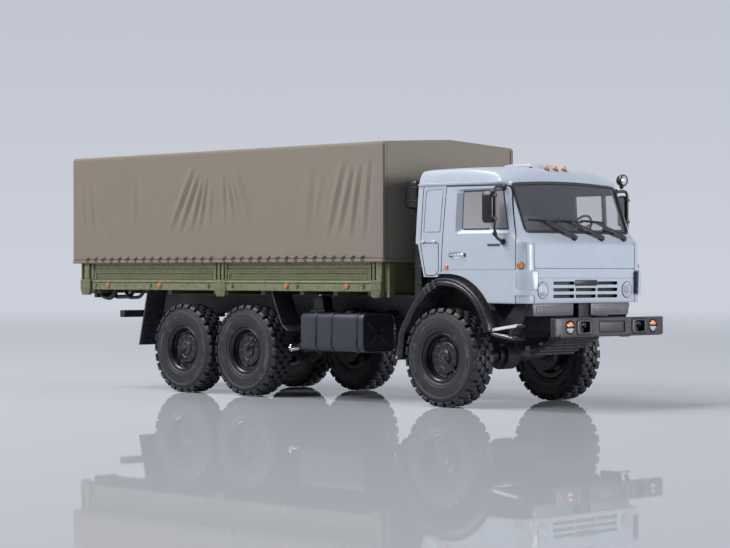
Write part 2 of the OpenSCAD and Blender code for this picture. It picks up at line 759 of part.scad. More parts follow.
module grille_insert() color("#141517") {
  block([cab_front - cab_wall - 0.8, cab_front - cab_wall - 0.1], [slot_columns[0][0] - 1.3, slot_columns[2][1] + 1.3], [slot_rows[0] - 0.8, slot_rows[2] + slot_h + 0.8]);
  block([cab_front - cab_wall - 0.3, cab_front + 0.3],
    [slot_columns[1][0] + fit_gap, slot_columns[1][1] - fit_gap], [slot_rows[2] + fit_gap, slot_rows[2] + slot_h - fit_gap]);
}

// Two flaps under the front panel
apron_y = [4, cab_half - 5];
apron_z = cab_z - 3.5;

module front_apron() color("#34353a") both_sides()
  block([cab_front - 1.6, cab_front - 0.6], apron_y, [apron_z, cab_z - 0.05]);

// Lamps in the front panel and in the bumper

module front_lamps() color("#d8dde2") {
  for (s = [-1, 1]) {
    rod_x(s * headlamp_y, headlamp_z, headlamp_r, [cab_front - cab_wall, cab_front + 0.25]);
    rod_x(s * lamp_y, bumper_mid, bumper_lamp_r, [bumper_back + 1.2, bumper_reach + 0.1]);
  }
}

// Orange markers: on the bed, the doors, the cab's corners and the roof

marker_r = 0.7;
roof_lamp_x = screen_top_x - 3.1;
roof_lamp_ys = [-4, 0, 4];
roof_lamp_r = 0.9;
door_marker = [1.3, cab_z + 10.5];

module marker_lamps() color("#e8701a") {
  both_sides() {
    for (x = bed_marker_xs) rod_y(-x, sill_z + sill_h / 2, marker_r, [post_half + 0.02, post_half + 0.6]);
    rod_y(door_marker[0], door_marker[1], marker_r, [cab_half + 0.02, cab_half + 0.4]);
  }
  on_corner() translate([0, 0, 2.4]) cylinder(r = turn_r, h = 1.9);
  for (y = roof_lamp_ys)
    translate([roof_lamp_x, y, roof_edge_z + 0.6]) cylinder(r = roof_lamp_r, h = 1.3);
}

// Three wipers: pivot along Y, and the blade's two ends along Y

wiper_table = [[-5.4, -19.6, -9.6], [6.8, -9.4, 1.2], [17.6, 1.6, 13.6]];
wiper_foot_z = belt_z - 1.6;
wiper_blade_z = belt_z + 3.5;
function screen_x(z) = screen_foot_x - (z - belt_z) * tan(screen_rake);

module wipers() color("#141416") for (w = wiper_table) {
  foot = [cab_front - 0.2, w[0], wiper_foot_z + 0.4];
  mid = [screen_x(wiper_blade_z) + 1, (w[1] + w[2]) / 2, wiper_blade_z];
  bar(foot, mid, 0.35);
  bar([mid[0], w[1], mid[2] + 0.2], [mid[0], w[2], mid[2] - 0.2], 0.35);
}

// Mirrors on tubular arms

arm_r = 0.4;
arm_bar_r = 0.5;
arm_gap = 0.24;
arm_y = cab_half + 3.3;
arm_low = [screen_foot_x - 5.3, belt_z - 2.6];
arm_high = [screen_foot_x - 6.3, drip_z - 1.2];
arm_bar_x = screen_foot_x - 5.6;
// Heads swung back along the cab: length, thickness, height and angle
mirror_len = 3.7;
mirror_t = 1.5;
mirror_z = [belt_z + 2.7, drip_z - 2.2];
mirror_turn = 13;

function cab_side_y(z) = cab_half - max(0, z - belt_z + 2) / (drip_z - belt_z + 2);

module mirrors() color("#17181a") both_sides() {
  bar([arm_low[0], cab_side_y(arm_low[1]) + arm_gap, arm_low[1]], [arm_bar_x, arm_y, arm_low[1] + 1.2], arm_r);
  bar([arm_bar_x, arm_y, arm_low[1] + 0.6], [arm_bar_x, arm_y, arm_high[1] + 0.8], arm_bar_r);
  bar([arm_high[0], cab_side_y(arm_high[1]) + arm_gap, arm_high[1]], [arm_bar_x, arm_y, arm_high[1] + 0.3], arm_r);
  translate([arm_bar_x - 0.3, arm_y + 0.2, 0]) rotate(-mirror_turn) block([-mirror_len, 0], [-mirror_t / 2, mirror_t / 2], mirror_z);
}

// Search lamp above the left mirror

search_r = 1.8;
search_pos = [arm_bar_x - 0.4, cab_half + 1.6, drip_z + 2.4];

module search_lamp() color("#18191b") {
  rod_x(search_pos[1], search_pos[2], search_r, [search_pos[0] - 1.6, search_pos[0] + 0.8]);
  bar(search_pos, [search_pos[0] + 0.2, search_pos[1], arm_high[1] + 1], 0.5);
}

// Raised air intake behind the cab, on the right

intake_x = [-cab_back - 7.2, -cab_back - 1.8];
intake_y = [-cab_half + 0.4, -cab_half + 5.6];
column_x = [-cab_back - 5, -cab_back - 1.8];
column_y = [-cab_half + 4, -cab_half + 7.4];
intake_neck_z = drip_z - 6.6;
intake_top_z = drip_z + 2.1;

module air_intake() color("#1a1b1d") {
  block(column_x, column_y, [frame_top, intake_neck_z + 1]);
  block([intake_x[0] - 0.6, intake_x[1] + 0.4], [intake_y[0] - 0.8, intake_y[1] + 0.6], [intake_neck_z, intake_top_z]);
  block([column_x[0] + 0.4, column_x[1] - 0.6], [column_y[1] - 0.5, -rail_in - 0.6], [frame_top, frame_top + 1.2]);
}

// Load bed

beam_xs = [30, 45, 60, 78, 101, 124, 145, 162];

module bed_floor() color("#5d6639") {
  block([-bed_back + 1, -bed_front], [-board_in, board_in], [floor_low, bed_z]);
  for (x = beam_xs) block([-x - 1, -x + 1], [-board_in, board_in], [beam_z + beam_h, floor_low]);
  both_sides() block([-frame_back + 1, -bed_front - 2], [rail_in, frame_half], [beam_z, beam_z + beam_h]);
}

module bed_side() {
  difference() {
    block([-bed_back + 0.2, -bed_front], [board_in, board_half], [sill_z + 0.4, board_top]);
    for (z = [sill_z + sill_h, sill_z + sill_h + 2.8])
      block([-bed_back - 1, -bed_front + 1], [board_half - 0.25, board_half + 1], [z, z + 0.35]);
  }
  block([-bed_back + 0.2, -bed_front], [board_in, post_half], [sill_z, sill_z + sill_h]);
  for (p = post_table) block([-p[0], -p[1]], [board_in, post_half], [sill_z - 1.7, board_top]);
}

module bed_side_right() color("#6c7646") mirror([0, 1, 0]) bed_side();
module bed_side_left() color("#6c7646") bed_side();

stay_y = 24.6;

module bed_front_board() color("#5f6840") {
  block([-bed_front, -bed_front + 0.8], [-board_in, board_in], [sill_z, board_top]);
  both_sides() block([-bed_front + 0.8, -bed_front + 2.1], [stay_y, stay_y + 2.4], [sill_z - 1.7, tilt_z - 0.4]);
}

module bed_tailgate() color("#6c7646") {
  block([-bed_back, -bed_back + 1], [-board_in, board_in], [sill_z, board_top]);
}

// Tilt: the moulded canvas cover, open below

ridge_z = eaves_z + ridge_rise;

module tilt_outline(t) {
  polygon([
    [-tilt_half + t, tilt_z - (t > 0 ? 1 : 0)], [tilt_half - t, tilt_z - (t > 0 ? 1 : 0)],
    [tilt_half - t, eaves_z - 0.6 - t / 2], [tilt_half - 0.6 - t, eaves_z - t],
    [0, ridge_z - t], [-tilt_half + 0.6 + t, eaves_z - t], [-tilt_half + t, eaves_z - 0.6 - t / 2]
  ]);
}

module tilt() color("#8a8270") difference() {
  front_plate([-tilt_back, -tilt_front]) tilt_outline(0);
  front_plate([-tilt_back + tilt_wall, -tilt_front - tilt_wall]) tilt_outline(tilt_wall);
}

// Spare wheel, upright across the truck behind the cab

spare_x = -16.4;
spare_y = 4;
carrier_h = 0.8;
spare_z = frame_top + carrier_h + tyre_r + 0.1;

module stand_spare() {
  translate([spare_x, spare_y, spare_z]) rotate([0, 90, 0]) children();
}

module spare_tyre() color("#2a2a2d") stand_spare() tyre();
module spare_rim() color("#1c1c1f") stand_spare() rim(false);

chock_y = [8, 9.6];
chock_h = 2.2;

module spare_carrier() color("#1b1c1e") {
  block([spare_x - 4, spare_x + 4], [-rail_in - 0.4, spare_y + chock_y[1]], [frame_top, frame_top + carrier_h]);
  for (s = [-1, 1])
    block([spare_x - 3.4, spare_x + 3.4],
      s > 0 ? [spare_y + chock_y[0], spare_y + chock_y[1]] : [spare_y - chock_y[1], spare_y - chock_y[0]],
      [frame_top + carrier_h - 0.2, frame_top + carrier_h + chock_h]);
}

module road_tyre(i) color("#2a2a2d") stand_wheel(wheel_places[i][0], wheel_places[i][1]) tyre();
module road_rim(i) color("#1c1c1f") stand_wheel(wheel_places[i][0], wheel_places[i][1]) rim(true);

// Moves a piece from the front axle's frame to the part's own
module put() {
  translate([front_axle_x, 0, 0]) children();
}

put() chassis_frame();
put() engine_block();
put() drive_line();
put() front_axle();
put() middle_axle();
put() rear_axle();
put() leaf_springs();
put() fuel_tank();
put() battery_box();
put() air_tanks();
put() exhaust();
put() bumper();
put() lower_valance();
put() cab_steps();
put() front_fenders();
put() rear_mudguards();
put() underride_bar();
put() tail_lamps();
put() cab_shell();
put() cab_interior();
put() windscreen();
put() side_windows();
put() grille_insert();
put() front_apron();
put() front_lamps();
put() marker_lamps();
put() wipers();
put() mirrors();
put() search_lamp();
put() air_intake();
put() bed_floor();
put() bed_side_right();
put() bed_side_left();
put() bed_front_board();
put() bed_tailgate();
put() tilt();
put() spare_tyre();
put() spare_rim();
put() spare_carrier();
put() road_tyre(0);  // tyre_front_right
put() road_tyre(1);  // tyre_front_left
put() road_tyre(2);  // tyre_middle_right
put() road_tyre(3);  // tyre_middle_left
put() road_tyre(4);  // tyre_rear_right
put() road_tyre(5);  // tyre_rear_left
put() road_rim(0);  // rim_front_right
put() road_rim(1);  // rim_front_left
put() road_rim(2);  // rim_middle_right
put() road_rim(3);  // rim_middle_left
put() road_rim(4);  // rim_rear_right
put() road_rim(5);  // rim_rear_left
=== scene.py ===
import json
import math

import bmesh
import bpy
from mathutils import Matrix, Vector, noise


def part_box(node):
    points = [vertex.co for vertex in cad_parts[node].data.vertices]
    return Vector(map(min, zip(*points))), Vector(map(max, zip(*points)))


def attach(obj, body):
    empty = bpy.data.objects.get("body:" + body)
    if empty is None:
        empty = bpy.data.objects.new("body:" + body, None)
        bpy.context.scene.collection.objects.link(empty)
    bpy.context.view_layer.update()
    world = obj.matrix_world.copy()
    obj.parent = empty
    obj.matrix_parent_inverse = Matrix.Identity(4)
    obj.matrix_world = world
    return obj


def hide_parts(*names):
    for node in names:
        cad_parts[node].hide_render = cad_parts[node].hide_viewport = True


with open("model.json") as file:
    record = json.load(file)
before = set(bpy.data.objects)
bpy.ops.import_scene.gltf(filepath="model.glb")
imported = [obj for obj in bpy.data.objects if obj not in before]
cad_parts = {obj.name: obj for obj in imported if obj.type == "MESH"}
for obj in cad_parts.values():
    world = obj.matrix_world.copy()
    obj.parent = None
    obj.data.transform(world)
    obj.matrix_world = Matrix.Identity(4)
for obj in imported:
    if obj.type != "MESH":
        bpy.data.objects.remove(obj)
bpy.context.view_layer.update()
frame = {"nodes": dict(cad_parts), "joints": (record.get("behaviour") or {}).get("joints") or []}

# Sizes are in millimetres: X forward from the front axle, Y to the left, Z up from the ground
mm = 0.001
wheelCentres = {joint["child"]: Vector(joint["pos_m"]) for joint in frame["joints"]}
axleX = wheelCentres["wheel_front_left"].x
intoFrame = Matrix.Translation((axleX, 0, 0)) @ Matrix.Scale(mm, 4)
outOfFrame = intoFrame.inverted()


def reach(node):  # lowest and highest corner of a CAD node
    low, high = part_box(node)
    return outOfFrame @ low, outOfFrame @ high


# Outlines and places

def between(a, b, t):
    return a + (b - a) * t


def spread(a, b, count):
    return [between(a, b, i / (count - 1)) for i in range(count)]


def arc(x, y, radius, start, end, steps):
    angles = [math.radians(a) for a in spread(start, end, steps + 1)]
    return [Vector((x + radius * math.cos(a), y + radius * math.sin(a))) for a in angles]


def softCorners(outline, radius, steps=4, loop=True):
    points = [Vector(p) for p in outline]
    soft = []
    for i, p in enumerate(points):
        if not loop and i in (0, len(points) - 1):
            soft.append(p)
            continue
        before, after = points[i - 1], points[(i + 1) % len(points)]
        start = p.lerp(before, min(0.48, radius / (before - p).length))
        end = p.lerp(after, min(0.48, radius / (after - p).length))
        soft += [start.lerp(p, t).lerp(p.lerp(end, t), t) for t in spread(0, 1, steps + 1)]
    return soft


def roundRect(width, height, radius, u=0, v=0, steps=5):
    w, h = width / 2, height / 2
    return softCorners([(u - w, v - h), (u + w, v - h), (u + w, v + h), (u - w, v + h)], radius, steps)


def sideOn(u, v, w):  # outline in X and Z, thickness along Y
    return (u, w, v)


def frontOn(u, v, w):  # outline in Y and Z, thickness along X
    return (w, u, v)


def topOn(u, v, w):  # outline in X and Y, thickness along Z
    return (u, v, w)


class Stock:  # faces gathered for one piece
    def __init__(self, look):
        self.points, self.faces, self.looks, self.look = [], [], [], look

    def add(self, points, faces, soften=0, steps=2, limit=32):
        work = bmesh.new()
        corners = [work.verts.new(p) for p in points]
        for face in faces:
            work.faces.new([corners[i] for i in face])
        bmesh.ops.remove_doubles(work, verts=work.verts, dist=0.002)
        bmesh.ops.recalc_face_normals(work, faces=work.faces)
        if soften:
            sharp = [e for e in work.edges if len(e.link_faces) == 2
                     and e.calc_face_angle(0) > math.radians(limit)]
            bmesh.ops.bevel(work, geom=sharp, offset=soften, offset_type="OFFSET", segments=steps,
                            profile=0.5, affect="EDGES", clamp_overlap=True)
        work.verts.index_update()
        first = len(self.points)
        self.points += [v.co.copy() for v in work.verts]
        self.faces += [[first + v.index for v in f.verts] for f in work.faces]
        self.looks += [self.look] * len(work.faces)
        work.free()
        return self

    # rows of equally many points, joined in turn
    def rings(self, rows, loop=True, caps=True, close=False, **soft):
        n, faces = len(rows[0]), []
        for r in range(len(rows) if close else len(rows) - 1):
            a, b = r * n, (r + 1) % len(rows) * n
            for i in range(n if loop else n - 1):
                j = (i + 1) % n
                faces.append((a + i, a + j, b + j, b + i))
        points = [p for row in rows for p in row]
        if caps and not close:
            faces += [range(n)[::-1], range(len(points) - n, len(points))]
        return self.add(points, faces, **soft)

    def plate(self, outline, place, low, high, soften=0, steps=2):
        return self.rings([[place(u, v, w) for u, v in outline] for w in (low, high)],
                          soften=soften, steps=steps)

    def block(self, x, y, z, soften=0, steps=2):
        return self.plate([(x[0], y[0]), (x[1], y[0]), (x[1], y[1]), (x[0], y[1])], topOn, *z,
                          soften, steps)

    # (across, up) points along a path
    def sweep(self, path, section, up=None, loop=False, ends=(1, 1), **soft):
        path, rows = [Vector(p) for p in path], []
        rise = Vector(up) if up else None
        for i, p in enumerate(path):
            before = path[i - 1] if i or loop else p
            after = path[(i + 1) % len(path)] if loop or i + 1 < len(path) else p
            along = (after - before).normalized()
            rise = along.orthogonal() if rise is None else rise
            across = along.cross(rise).normalized()
            rise = across.cross(along)
            size = between(*ends, i / len(path))
            rows.append([p + across * (u * size) + rise * (v * size) for u, v in section])
        return self.rings(rows, close=loop, **soft)

    def tube(self, path, radius, sides=10, loop=False, flat=1):
        turn = [2 * math.pi * i / sides for i in range(sides)]
        return self.sweep(path, [(radius * math.cos(a), radius * flat * math.sin(a)) for a in turn],
                          loop=loop)

    def spin(self, profile, centre, axis, turns=40, **soft):  # (radius, height) pairs turned round an axis
        axis = Vector(axis).normalized()
        side = axis.orthogonal().normalized()
        other, centre = axis.cross(side), Vector(centre)
        angles = [2 * math.pi * i / turns for i in range(turns)]
        return self.rings([[centre + axis * h + (side * math.cos(a) + other * math.sin(a)) * r
                            for a in angles]
                           for r, h in profile], **soft)

    def ball(self, centre, radii, turns=24):
        profile = [(math.sin(a), -math.cos(a)) for a in spread(0, math.pi, turns // 2)]
        unit = Stock(self.look).spin(profile, (0, 0, 0), (0, 0, 1), turns)
        return self.copy(unit, Matrix.Translation(centre) @ Matrix.Diagonal((*radii, 1)))

    def copy(self, other, matrix, flip=False):
        first = len(self.points)
        self.points += [matrix @ Vector(p) for p in other.points]
        self.faces += [[first + i for i in (face[::-1] if flip else face)] for face in other.faces]
        self.looks += other.looks
        return self

    def both(self):  # adds the mirror image on the other side of the truck
        twin = Stock(self.look).copy(self, Matrix.Identity(4))
        return self.copy(twin, Matrix.Diagonal((1, -1, 1, 1)), flip=True)

    def mesh(self, name, palette=None):
        palette = palette or list(dict.fromkeys(self.looks))
        mesh = bpy.data.meshes.new(name)
        mesh.from_pydata([tuple(p) for p in self.points], [], self.faces)
        for look in palette:
            mesh.materials.append(look)
        mesh.polygons.foreach_set("material_index", [palette.index(look) for look in self.looks])
        return mesh


def carved(stock, cutters):  # the stock less the bodies of the cutters, one after another
    for cutter in cutters:
        palette = list(dict.fromkeys(stock.looks + cutter.looks))
        things = [bpy.data.objects.new(name, s.mesh(name, palette))
                  for name, s in (("work", stock), ("tool", cutter))]
        for thing in things:
            bpy.context.scene.collection.objects.link(thing)
        cut = things[0].modifiers.new("cut", "BOOLEAN")
        cut.object, cut.operation, cut.solver = things[1], "DIFFERENCE", "EXACT"
        bpy.context.view_layer.update()
        mesh = bpy.data.meshes.new_from_object(things[0].evaluated_get(bpy.context.evaluated_depsgraph_get()))
        left = Stock(stock.look)
        left.points = [v.co.copy() for v in mesh.vertices]
        left.faces = [list(p.vertices) for p in mesh.polygons]
        left.looks = [palette[p.material_index] for p in mesh.polygons]
        for thing in things:
            bpy.data.objects.remove(thing)
        bpy.data.meshes.remove(mesh)
        stock = left
    return stock


def piece(name, stock, nodes=(), body="chassis", angle=32, place=intoFrame):
    mesh = stock.mesh(name)
    mesh.transform(place)
    mesh.shade_smooth()
    mesh.set_sharp_from_angle(angle=math.radians(angle))
    thing = bpy.data.objects.new(name, mesh)
    bpy.context.scene.collection.objects.link(thing)
    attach(thing, body)
    if nodes:
        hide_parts(*nodes)
    return thing


# Materials

class Wire:  # one socket of a material; sums on it add Math nodes
    def __init__(self, coat, socket):
        self.coat, self.socket = coat, socket

    def sum(self, operation, first, second):
        return self.coat.node("Math", {"operation": operation}, {0: first, 1: second})

    def __add__(self, other):
        return self.sum("ADD", self, other)

    def __sub__(self, other):
        return self.sum("SUBTRACT", self, other)

    def __rsub__(self, other):
        return self.sum("SUBTRACT", other, self)

    def __mul__(self, other):
        return self.sum("MULTIPLY", self, other)

    def __pow__(self, other):
        return self.sum("POWER", self, other)

    def __gt__(self, other):
        return self.sum("GREATER_THAN", self, other)

    __radd__, __rmul__ = __add__, __mul__


class Coat:  # one material round its Principled shader, or the world's nodes
    def __init__(self, name, world=None, **fixed):
        self.material = world or bpy.data.materials.new(name)
        self.material.use_nodes = True
        self.tree = self.material.node_tree
        self.shader = self.tree.nodes.get("Principled BSDF")
        self.feed(self.shader, {key.replace("_", " "): value for key, value in fixed.items()})

    def feed(self, node, sockets):
        for key, value in sockets.items():
            if isinstance(value, Wire):
                self.tree.links.new(value.socket, node.inputs[key])
            else:
                node.inputs[key].default_value = value

    def node(self, kind, settings=None, sockets=None, out=0):
        made = self.tree.nodes.new("ShaderNode" + kind)
        for key, value in (settings or {}).items():
            if key == "stops":
                for stop, (position, colour) in zip(made.color_ramp.elements, value):
                    stop.position, stop.color = position, colour
            else:
                setattr(made, key, value)
        self.feed(made, sockets or {})
        return Wire(self, made.outputs[out])

    def where(self, scale=(1, 1, 1)):  # object coordinates, in millimetres
        place = self.node("TexCoord", out="Object")
        return self.node("VectorMath", {"operation": "MULTIPLY"}, {0: place, 1: [s / mm for s in scale]})

    # noise whose grains are about that many millimetres wide
    def speckle(self, size, detail=3, scale=(1, 1, 1)):
        return self.node("TexNoise", {}, {"Vector": self.where(scale), "Scale": 1 / size, "Detail": detail})

    def steps(self, value, low, high):  # the value's part between low and high, stretched to 0 and 1
        return self.node("MapRange", {"clamp": True}, {0: value, 1: low, 2: high, 3: 0.0, 4: 1.0})

    def blend(self, factor, first, second):
        return self.node("Mix", {"data_type": "RGBA"}, {0: factor, 6: first, 7: second}, out=2)

    def bump(self, height, depth, after=None):  # depth in millimetres
        sockets = {"Height": height, "Strength": 1.0, "Distance": depth * mm}
        return self.node("Bump", {}, {**sockets, "Normal": after} if after else sockets)

    def dress(self, **sockets):
        self.feed(self.shader, {key.replace("_", " "): value for key, value in sockets.items()})
        return self.material


def rgb(colour, share=1.0):
    return (*[c * share for c in colour], 1.0)


# Moulded plastic, cast metal and paint: a shade that drifts, a fine grain, and paler edges, partly worn paint
# and partly painted highlight
def painted(name, colour, drift=0.12, rough=0.45, roughSpread=0.1, grain=0.4, grainDepth=0.01,
            edge=0.0, **fixed):
    coat = Coat(name, **fixed)
    patches = coat.steps(coat.speckle(7), 0.3, 0.7)
    tone = coat.blend(patches, rgb(colour, 1 - drift), rgb(colour, 1 + drift))
    if edge:
        # paler convex edges: partly worn paint, partly painted highlight
        rim = coat.steps(coat.node("NewGeometry", out="Pointiness"), 0.51, 0.58)
        tone = coat.blend(rim * coat.steps(coat.speckle(1.5), 0.35, 0.6) * edge, tone,
                          rgb([c ** 0.6 for c in colour]))
    fine = coat.speckle(grain)
    return coat.dress(Base_Color=tone, Roughness=rough - roughSpread / 2 + roughSpread * coat.speckle(1.2),
                      Normal=coat.bump(fine, grainDepth))


cabPaint = painted("cabPaint", (0.45, 0.508, 0.596), 0.025, 0.32, 0.06, 0.8, 0.004, Coat_Weight=0.2,
                   Coat_Roughness=0.15)
# the cab's paint darkened, used as painted shade
cabPaintedShade = painted("cabPaintedShade", (0.25, 0.285, 0.345), 0.03, 0.4, 0.06, 0.8, 0.004)
frameBlack = painted("frameBlack", (0.032, 0.033, 0.039), 0.2, 0.5, 0.15, edge=0.25)
engineGrey = painted("engineGrey", (0.03, 0.03, 0.032), 0.2, 0.6, edge=0.2)
tankGrey = painted("tankGrey", (0.027, 0.030, 0.042), 0.12, 0.4, 0.1, edge=0.15)
boxBlack = painted("boxBlack", (0.022, 0.023, 0.027), 0.15, 0.48, edge=0.2)
# bumper and aprons are one dark plastic: the bumper's copy is darkened against the front light (painted
# shade), the aprons' copy lightened (painted light)
bumperGrey = painted("bumperGrey", (0.038, 0.036, 0.043), 0.08, 0.44, 0.08, 0.3, 0.008, edge=0.2)
apronLitGrey = painted("apronLitGrey", (0.115, 0.114, 0.14), 0.08, 0.42, 0.08, 0.3, 0.008, edge=0.2)
fenderBlack = painted("fenderBlack", (0.028, 0.028, 0.037), 0.12, 0.28, 0.1, 0.35, 0.012, edge=0.3)
trimBlack = painted("trimBlack", (0.014, 0.014, 0.016), 0.1, 0.34, 0.1, 0.35, 0.006)
slotBlack = painted("slotBlack", (0.006, 0.006, 0.007), 0.1, 0.6)
seamGrey = painted("seamGrey", (0.26, 0.29, 0.34), 0.06, 0.5)
slateEdge = painted("slateEdge", (0.065, 0.07, 0.09), 0.1, 0.5)
sealRubber = painted("sealRubber", (0.013, 0.013, 0.014), 0.1, 0.5, 0.1, 0.25, 0.006)
seatGrey = painted("seatGrey", (0.075, 0.077, 0.085), 0.12, 0.65, 0.1, 0.3, 0.02)
liningGrey = painted("liningGrey", (0.085, 0.085, 0.098), 0.1, 0.6, 0.1, 0.3, 0.02)
rimBlack = painted("rimBlack", (0.008, 0.008, 0.011), 0.12, 0.32, 0.1, 0.5, 0.006, edge=0.35)
hubGrey = painted("hubGrey", (0.030, 0.031, 0.042), 0.1, 0.28, 0.1, 0.5, 0.006, edge=0.3)
bedOlive = painted("bedOlive", (0.128, 0.131, 0.066), 0.1, 0.46, 0.1, 0.5, 0.01, edge=0.45)
bedFloorOlive = painted("bedFloorOlive", (0.07, 0.071, 0.038), 0.15, 0.55, 0.1, 0.6, 0.015)
# the hooks' dark brown stands in for the shade round them: painted shade
hookPaintedShade = painted("hookPaintedShade", (0.075, 0.058, 0.045), 0.15, 0.55, edge=0.5)
# near-white grey that stands in for the highlight on the black step treads: painted highlight
treadHighlightGrey = painted("treadHighlightGrey", (0.8, 0.8, 0.82), 0.06, 0.32, 0.1, 0.4, 0.01, Metallic=0.2)
brightMetal = painted("brightMetal", (0.82, 0.83, 0.85), 0.04, 0.14, 0.06, 0.6, 0.002, Metallic=1.0)
lampBowl = painted("lampBowl", (0.52, 0.54, 0.58), 0.04, 0.2, 0.06, 0.6, 0.002, Metallic=0.75)
exhaustMetal = painted("exhaustMetal", (0.05, 0.05, 0.055), 0.2, 0.45, 0.15, Metallic=0.3)


# moulded cloth: fine weave, browner to the rear and greyer to the front, with painted shade darkening the
# folds
def canvasCoat():
    coat = Coat("tiltCanvas", Sheen_Weight=0.1, Specular_IOR_Level=0.25)
    brown, grey = (0.222, 0.186, 0.146), (0.228, 0.206, 0.172)
    along = coat.node("SeparateXYZ", {}, {"Vector": coat.where()})
    tone = coat.blend(coat.steps(along + 60 * coat.speckle(30), -70, 60), rgb(brown), rgb(grey))
    dust = coat.steps(coat.speckle(5, 5), 0.4, 0.75)
    tone = coat.blend(dust * 0.3, tone, rgb(grey, 1.1))
    # painted shade in the concave fold valleys
    foldPaintedShade = 1 - coat.steps(coat.node("NewGeometry", out="Pointiness"), 0.455, 0.497)
    tone = coat.blend(foldPaintedShade * 0.3, tone, rgb(brown, 0.5))
    warp, weft = [coat.node("TexWave", {"wave_type": "BANDS", "bands_direction": way},
                            {"Vector": coat.where(), "Scale": 1.3, "Distortion": 0.6}) for way in "XZ"]
    return coat.dress(Base_Color=tone, Roughness=0.72 + 0.15 * coat.speckle(0.8),
                      Normal=coat.bump(warp + weft, 0.005, coat.bump(coat.speckle(1.6, 4), 0.02)))


def tyreCoat():  # rubber: fine ticks moulded in the side wall, painted shade in the grooves round the lugs, paler lug edges partly dust and partly painted highlight
    coat = Coat("tyreRubber", Specular_IOR_Level=0.45)
    place = coat.where()
    x, y, z = [coat.node("SeparateXYZ", {}, {"Vector": place}, out=i) for i in range(3)]
    turn = x.sum("ARCTAN2", x, y)
    radius = (x * x + y * y) ** 0.5
    wall = coat.steps(radius, 10.1, 10.4) * (1 - coat.steps(radius, 11.3, 11.5))
    spokes = (turn * 140).sum("SINE", turn * 140, 0)
    patches = coat.steps(coat.speckle(4, 2), 0.42, 0.58)
    drift = coat.steps(coat.speckle(3, 4), 0.3, 0.7)
    tone = coat.blend(drift, rgb((0.010, 0.0105, 0.0155)), rgb((0.017, 0.0175, 0.025)))
    # painted shade in the grooves round the lug roots
    groove = coat.steps(radius, 13.3, 13.5) * (1 - coat.steps(radius, 13.95, 14.35))
    tone = coat.blend(groove * 0.85, tone, rgb((0.003, 0.003, 0.004)))
    # paler lug edges: partly dust, partly painted highlight
    edge = coat.steps(coat.node("NewGeometry", out="Pointiness"), 0.51, 0.58)
    tone = coat.blend(edge * 0.35, tone, rgb((0.11, 0.11, 0.13)))
    slants = [x.sum("SINE", turn * 39 + z * s, 0) for s in (2.1, -2.1)]
    weave = slants[0] * slants[1]
    cuts = (1 - coat.steps(weave * weave, 0.0, 0.05)) * (radius > 13.7)  # fine cuts across the tread
    tone = coat.blend(cuts * 0.9, tone, rgb((0.003, 0.003, 0.004)))
    tone = coat.blend((spokes > 0.5) * wall * patches * (z > 3.5) * 0.45, tone, rgb((0.15, 0.15, 0.18)))
    rings = [coat.steps(radius, r - 0.12, r - 0.04) * (1 - coat.steps(radius, r + 0.04, r + 0.12))
             for r in (11.61, 12.04)]
    tone = coat.blend((rings[0] + rings[1]) * (z > 3.9) * 0.5, tone, rgb((0.2, 0.2, 0.23)))
    return coat.dress(Base_Color=tone, Roughness=0.45 + 0.2 * coat.speckle(0.7),
                      Normal=coat.bump(spokes * wall * patches, 0.09, coat.bump(coat.speckle(0.25), 0.012)))


def glassCoat(name, colour, haze, rough=0.02):  # thin glazing: clear straight on, a mirror at a slant
    coat = Coat(name, Base_Color=rgb(colour))
    facing = coat.node("LayerWeight", {}, {"Blend": 0.5}, out="Facing")
    outer = 1 - coat.node("NewGeometry", out="Backfacing")
    return coat.dress(Alpha=(haze + (0.9 - haze) * facing ** 3) * outer,
                      Roughness=rough + 0.03 * coat.speckle(2.5))


def lensCoat(name, colour, deep, glow, ribs, **fixed):  # clear or tinted lens with moulded flutes; a faint emission glow is painted light
    coat = Coat(name, Coat_Weight=1.0, Coat_Roughness=0.03, **fixed)
    across = coat.node("TexWave", {"wave_type": "BANDS", "bands_direction": "Y"},
                       {"Vector": coat.where(), "Scale": ribs})
    tone = coat.blend(across * 0.5 + 0.5 * coat.speckle(0.5), rgb(deep), rgb(colour))
    return coat.dress(Base_Color=tone, Roughness=0.12 + 0.1 * coat.speckle(0.6),
                      Normal=coat.bump(across, 0.05),
                      Emission_Color=coat.blend(across, rgb(glow, 0.6), rgb(glow)))


tiltCanvas = canvasCoat()
tyreRubber = tyreCoat()
screenGlass = glassCoat("screenGlass", (0.44, 0.46, 0.52), 0.14)
# painted light: the near-white haze on the side windows stands in for the brightness seen in them
windowGlass = glassCoat("windowGlass", (0.85, 0.86, 0.92), 0.3)
lampGlass = glassCoat("lampGlass", (0.85, 0.87, 0.9), 0.1, 0.05)
amberLens = lensCoat("amberLens", (0.8, 0.25, 0.03), (0.5, 0.11, 0.015), (1.0, 0.32, 0.03), 0.6,
                     Emission_Strength=0.08)
redLens = lensCoat("redLens", (0.48, 0.03, 0.02), (0.25, 0.01, 0.01), (0.5, 0.02, 0.01), 0.6,
                   Emission_Strength=0.03)
clearLens = lensCoat("clearLens", (0.6, 0.61, 0.63), (0.3, 0.31, 0.33), (0.6, 0.6, 0.6), 0.5,
                     Emission_Strength=0.03)
mirrorGlass = painted("mirrorGlass", (0.7, 0.73, 0.76), 0.03, 0.06, 0.02, 0.8, 0.001, Metallic=1.0)
print("materials ready")


# Cab shell: rings of a rounded rectangle, bottom to top

